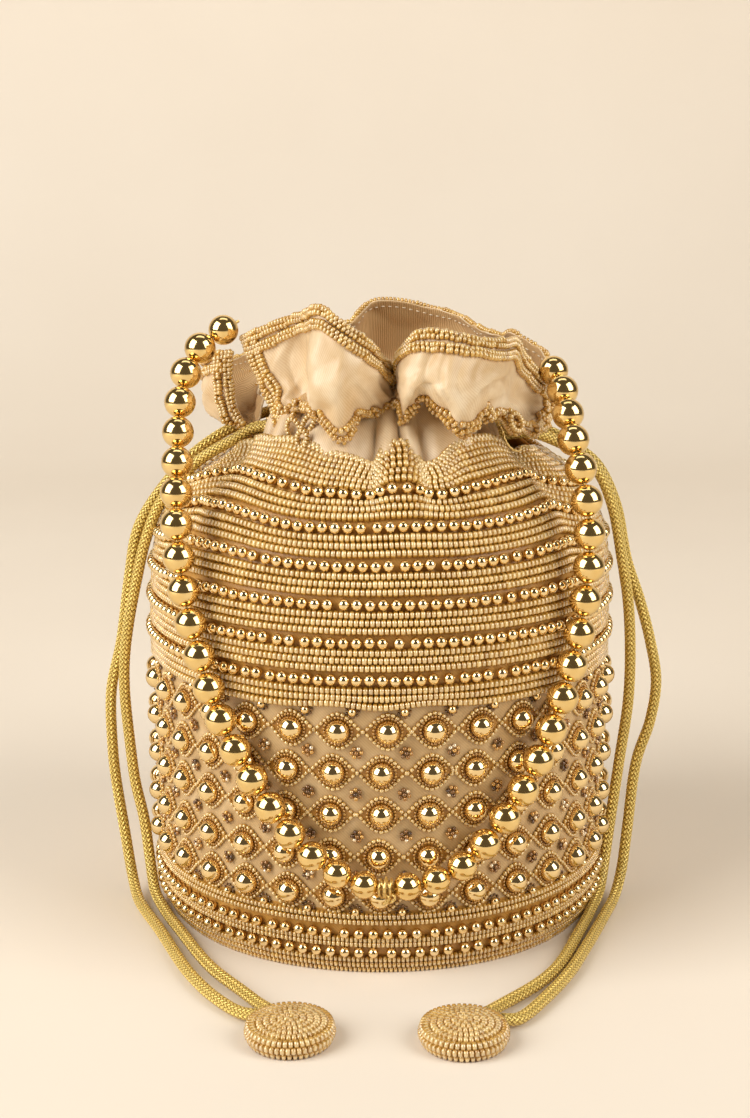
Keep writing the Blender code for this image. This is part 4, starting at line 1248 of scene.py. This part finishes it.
def make_strand_knot():
    """The knot that joins the strand's two halves: thread wound round, with two small loops."""
    low, high = (np.array(corner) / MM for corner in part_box("handle_knot"))
    centre = (low + high) / 2
    points = []
    turns, count = 5, 60
    for i in range(count + 1):
        share = i / count
        turn = share * turns * math.tau
        swell = 2.0 + 1.0 * math.sin(share * math.pi) + 0.35 * math.sin(turn * 0.5 + 1)
        points.append((centre[0] + (share - 0.5) * 4.4 + 0.5 * math.sin(turn * 1.5),
                       centre[1] + swell * math.cos(turn), centre[2] + swell * math.sin(turn)))
    fine_thread("strand_knot", points, 0.55, 8, "handle", ["handle_knot"])
    for number, (lean, size) in enumerate(((-1.0, 3.4), (1.2, 2.9))):
        loop = [(centre[0] + lean + size * 0.8 * math.sin(t) * math.cos(t / 2),
                 centre[1] - 2.2 - 0.9 * math.sin(t), centre[2] - 1.2 - size * (1 - math.cos(t)) / 2)
                for t in (math.tau * i / 14 for i in range(15))]
        fine_thread(f"strand_knot_loop_{number + 1}", loop, 0.4, 6, "handle")


def make_bead_loops():
    """Short strings of seed beads sewn in loops where the border starts and ends, each lying on the
    cloth at its own reach from the bag's middle."""
    loops = Beads()
    for middle_x, middle_z, reach, width, height, lean in BEAD_LOOPS:
        turn = np.linspace(-0.5 * math.pi, 1.5 * math.pi, 60)
        tilt = np.radians(lean)
        x, z = width / 2 * np.cos(turn), height / 2 * np.sin(turn)
        wide = np.array([1.0, 0, 0]) * math.cos(tilt) + np.array([0, 0, 1.0]) * math.sin(tilt)
        tall = np.array([0, 0, 1.0]) * math.cos(tilt) - np.array([1.0, 0, 0]) * math.sin(tilt)
        curve = np.array([middle_x, 0.0, middle_z]) + x[:, None] * wide + z[:, None] * tall
        curve[:, 1] = -np.sqrt(reach ** 2 - curve[:, 0] ** 2)
        out = curve * np.array([1.0, 1.0, 0.0]) / reach
        add_line(loops, (curve, out), 0.0, SEED_BEAD * 0.7, SEED_PITCH * 0.75)
    loops.strew("border_bead_loops", seed_shape(), FINE_GLASS, "gold_seed_beads")


def make_stray_thread():
    """A loose gold thread end hanging at the right of the frill's foot."""
    route = [(38.5, -44.5, 180.5), (40, -47, 178), (41.2, -49.5, 174.5), (43, -51, 172), (45.5, -50, 171),
             (46.5, -48.5, 172.5)]
    fine_thread("stray_thread", route, 0.28, 6)


def dress_cad_nodes():
    """Finishes for the frame's own pieces that stay in view."""
    for name, material in (("base_panel", GROUND_PLAIN), ("base_board", BOARD), ("handle_thread", THREAD)):
        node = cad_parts[name]
        node.data.materials.clear()
        node.data.materials.append(material)


# ---- studio --------------------------------------------------------------------------------------
def make_camera():
    data = bpy.data.cameras.new("camera")
    data.lens = CAMERA_LENS
    data.sensor_width = 36
    data.clip_start, data.clip_end = 0.01, 20
    camera = bpy.data.objects.new("camera", data)
    camera.location = CAMERA_PLACE
    camera.rotation_euler = (math.radians(90 - CAMERA_DIP), 0, 0)
    bpy.context.scene.collection.objects.link(camera)
    bpy.context.scene.camera = camera


def make_sweep():
    """Pale paper that lies under the bag and curves up behind it."""
    def place(across, up):
        run = up * 5.2 - 2.2
        bend_start, bend = 0.9, 0.5
        quarter = bend * math.pi / 2
        turn = np.clip((run - bend_start) / bend, 0, math.pi / 2)
        y = np.minimum(run, bend_start) + bend * np.sin(turn)
        z = bend * (1 - np.cos(turn)) + np.clip(run - bend_start - quarter, 0, None)
        return np.stack([(across - 0.5) * 6.0, y, z], axis=-1) / MM

    mesh = shaped_grid("paper_sweep", 2, 80, place, (6, 5.2))
    mesh.materials.append(paper_sweep())
    sweep = bpy.data.objects.new("paper_sweep", mesh)
    bpy.context.scene.collection.objects.link(sweep)


def softbox(name, place, target, width, height, watts, colour):
    data = bpy.data.lights.new(name, "AREA")
    data.shape = "RECTANGLE"
    data.size = width
    data.size_y = height
    data.energy = watts
    data.color = linear(colour)[:3]
    light = bpy.data.objects.new(name, data)
    light.location = place
    light.rotation_euler = (Vector(target) - Vector(place)).to_track_quat("-Z", "Y").to_euler()
    bpy.context.scene.collection.objects.link(light)


def light_studio():
    softbox("left_softbox", (-1.4, -0.78, 1.1), (0, 0, 0.12), 1.4, 1.7, 41, "#fffdfa")
    softbox("right_softbox", (1.4, -0.78, 1.1), (0, 0, 0.12), 1.2, 1.6, 26, "#fffbf6")
    softbox("backdrop_light", (0, 0.35, 1.9), (0, 1.35, 0.75), 1.2, 0.8, 4.9, "#fffaf2")
    world = bpy.data.worlds.new("studio_fill")
    bpy.context.scene.world = world
    world.use_nodes = True
    fill = world.node_tree.nodes["Background"]
    fill.inputs["Color"].default_value = linear("#e8d6bd")
    fill.inputs["Strength"].default_value = 0.14
    bpy.context.scene.view_settings.view_transform = "Standard"


make_camera()
discs = {side: make_disc(side) for side in DISC_CENTRES}
make_drawstrings()
make_body_cloth()
make_bead_rows()
make_lattice()
make_lining()
make_neck_band("neck_band_front", NECK_CREASES, ["drawstring_channel"])
make_neck_band("neck_band_back", BACK_NECK_CREASES)
make_frill("frill_front_flap", FRONT_COLUMNS, 5, FRONT_FLAP_CUT, ["front_frill"])
back_surface = make_frill("frill_back_flap", BACK_COLUMNS, 9, BACK_FLAP_CUT, ["back_frill"])
make_stitches(back_surface)
make_bead_loops()
make_stray_thread()
make_balls()
make_strand_knot()
dress_cad_nodes()
make_sweep()
light_studio()
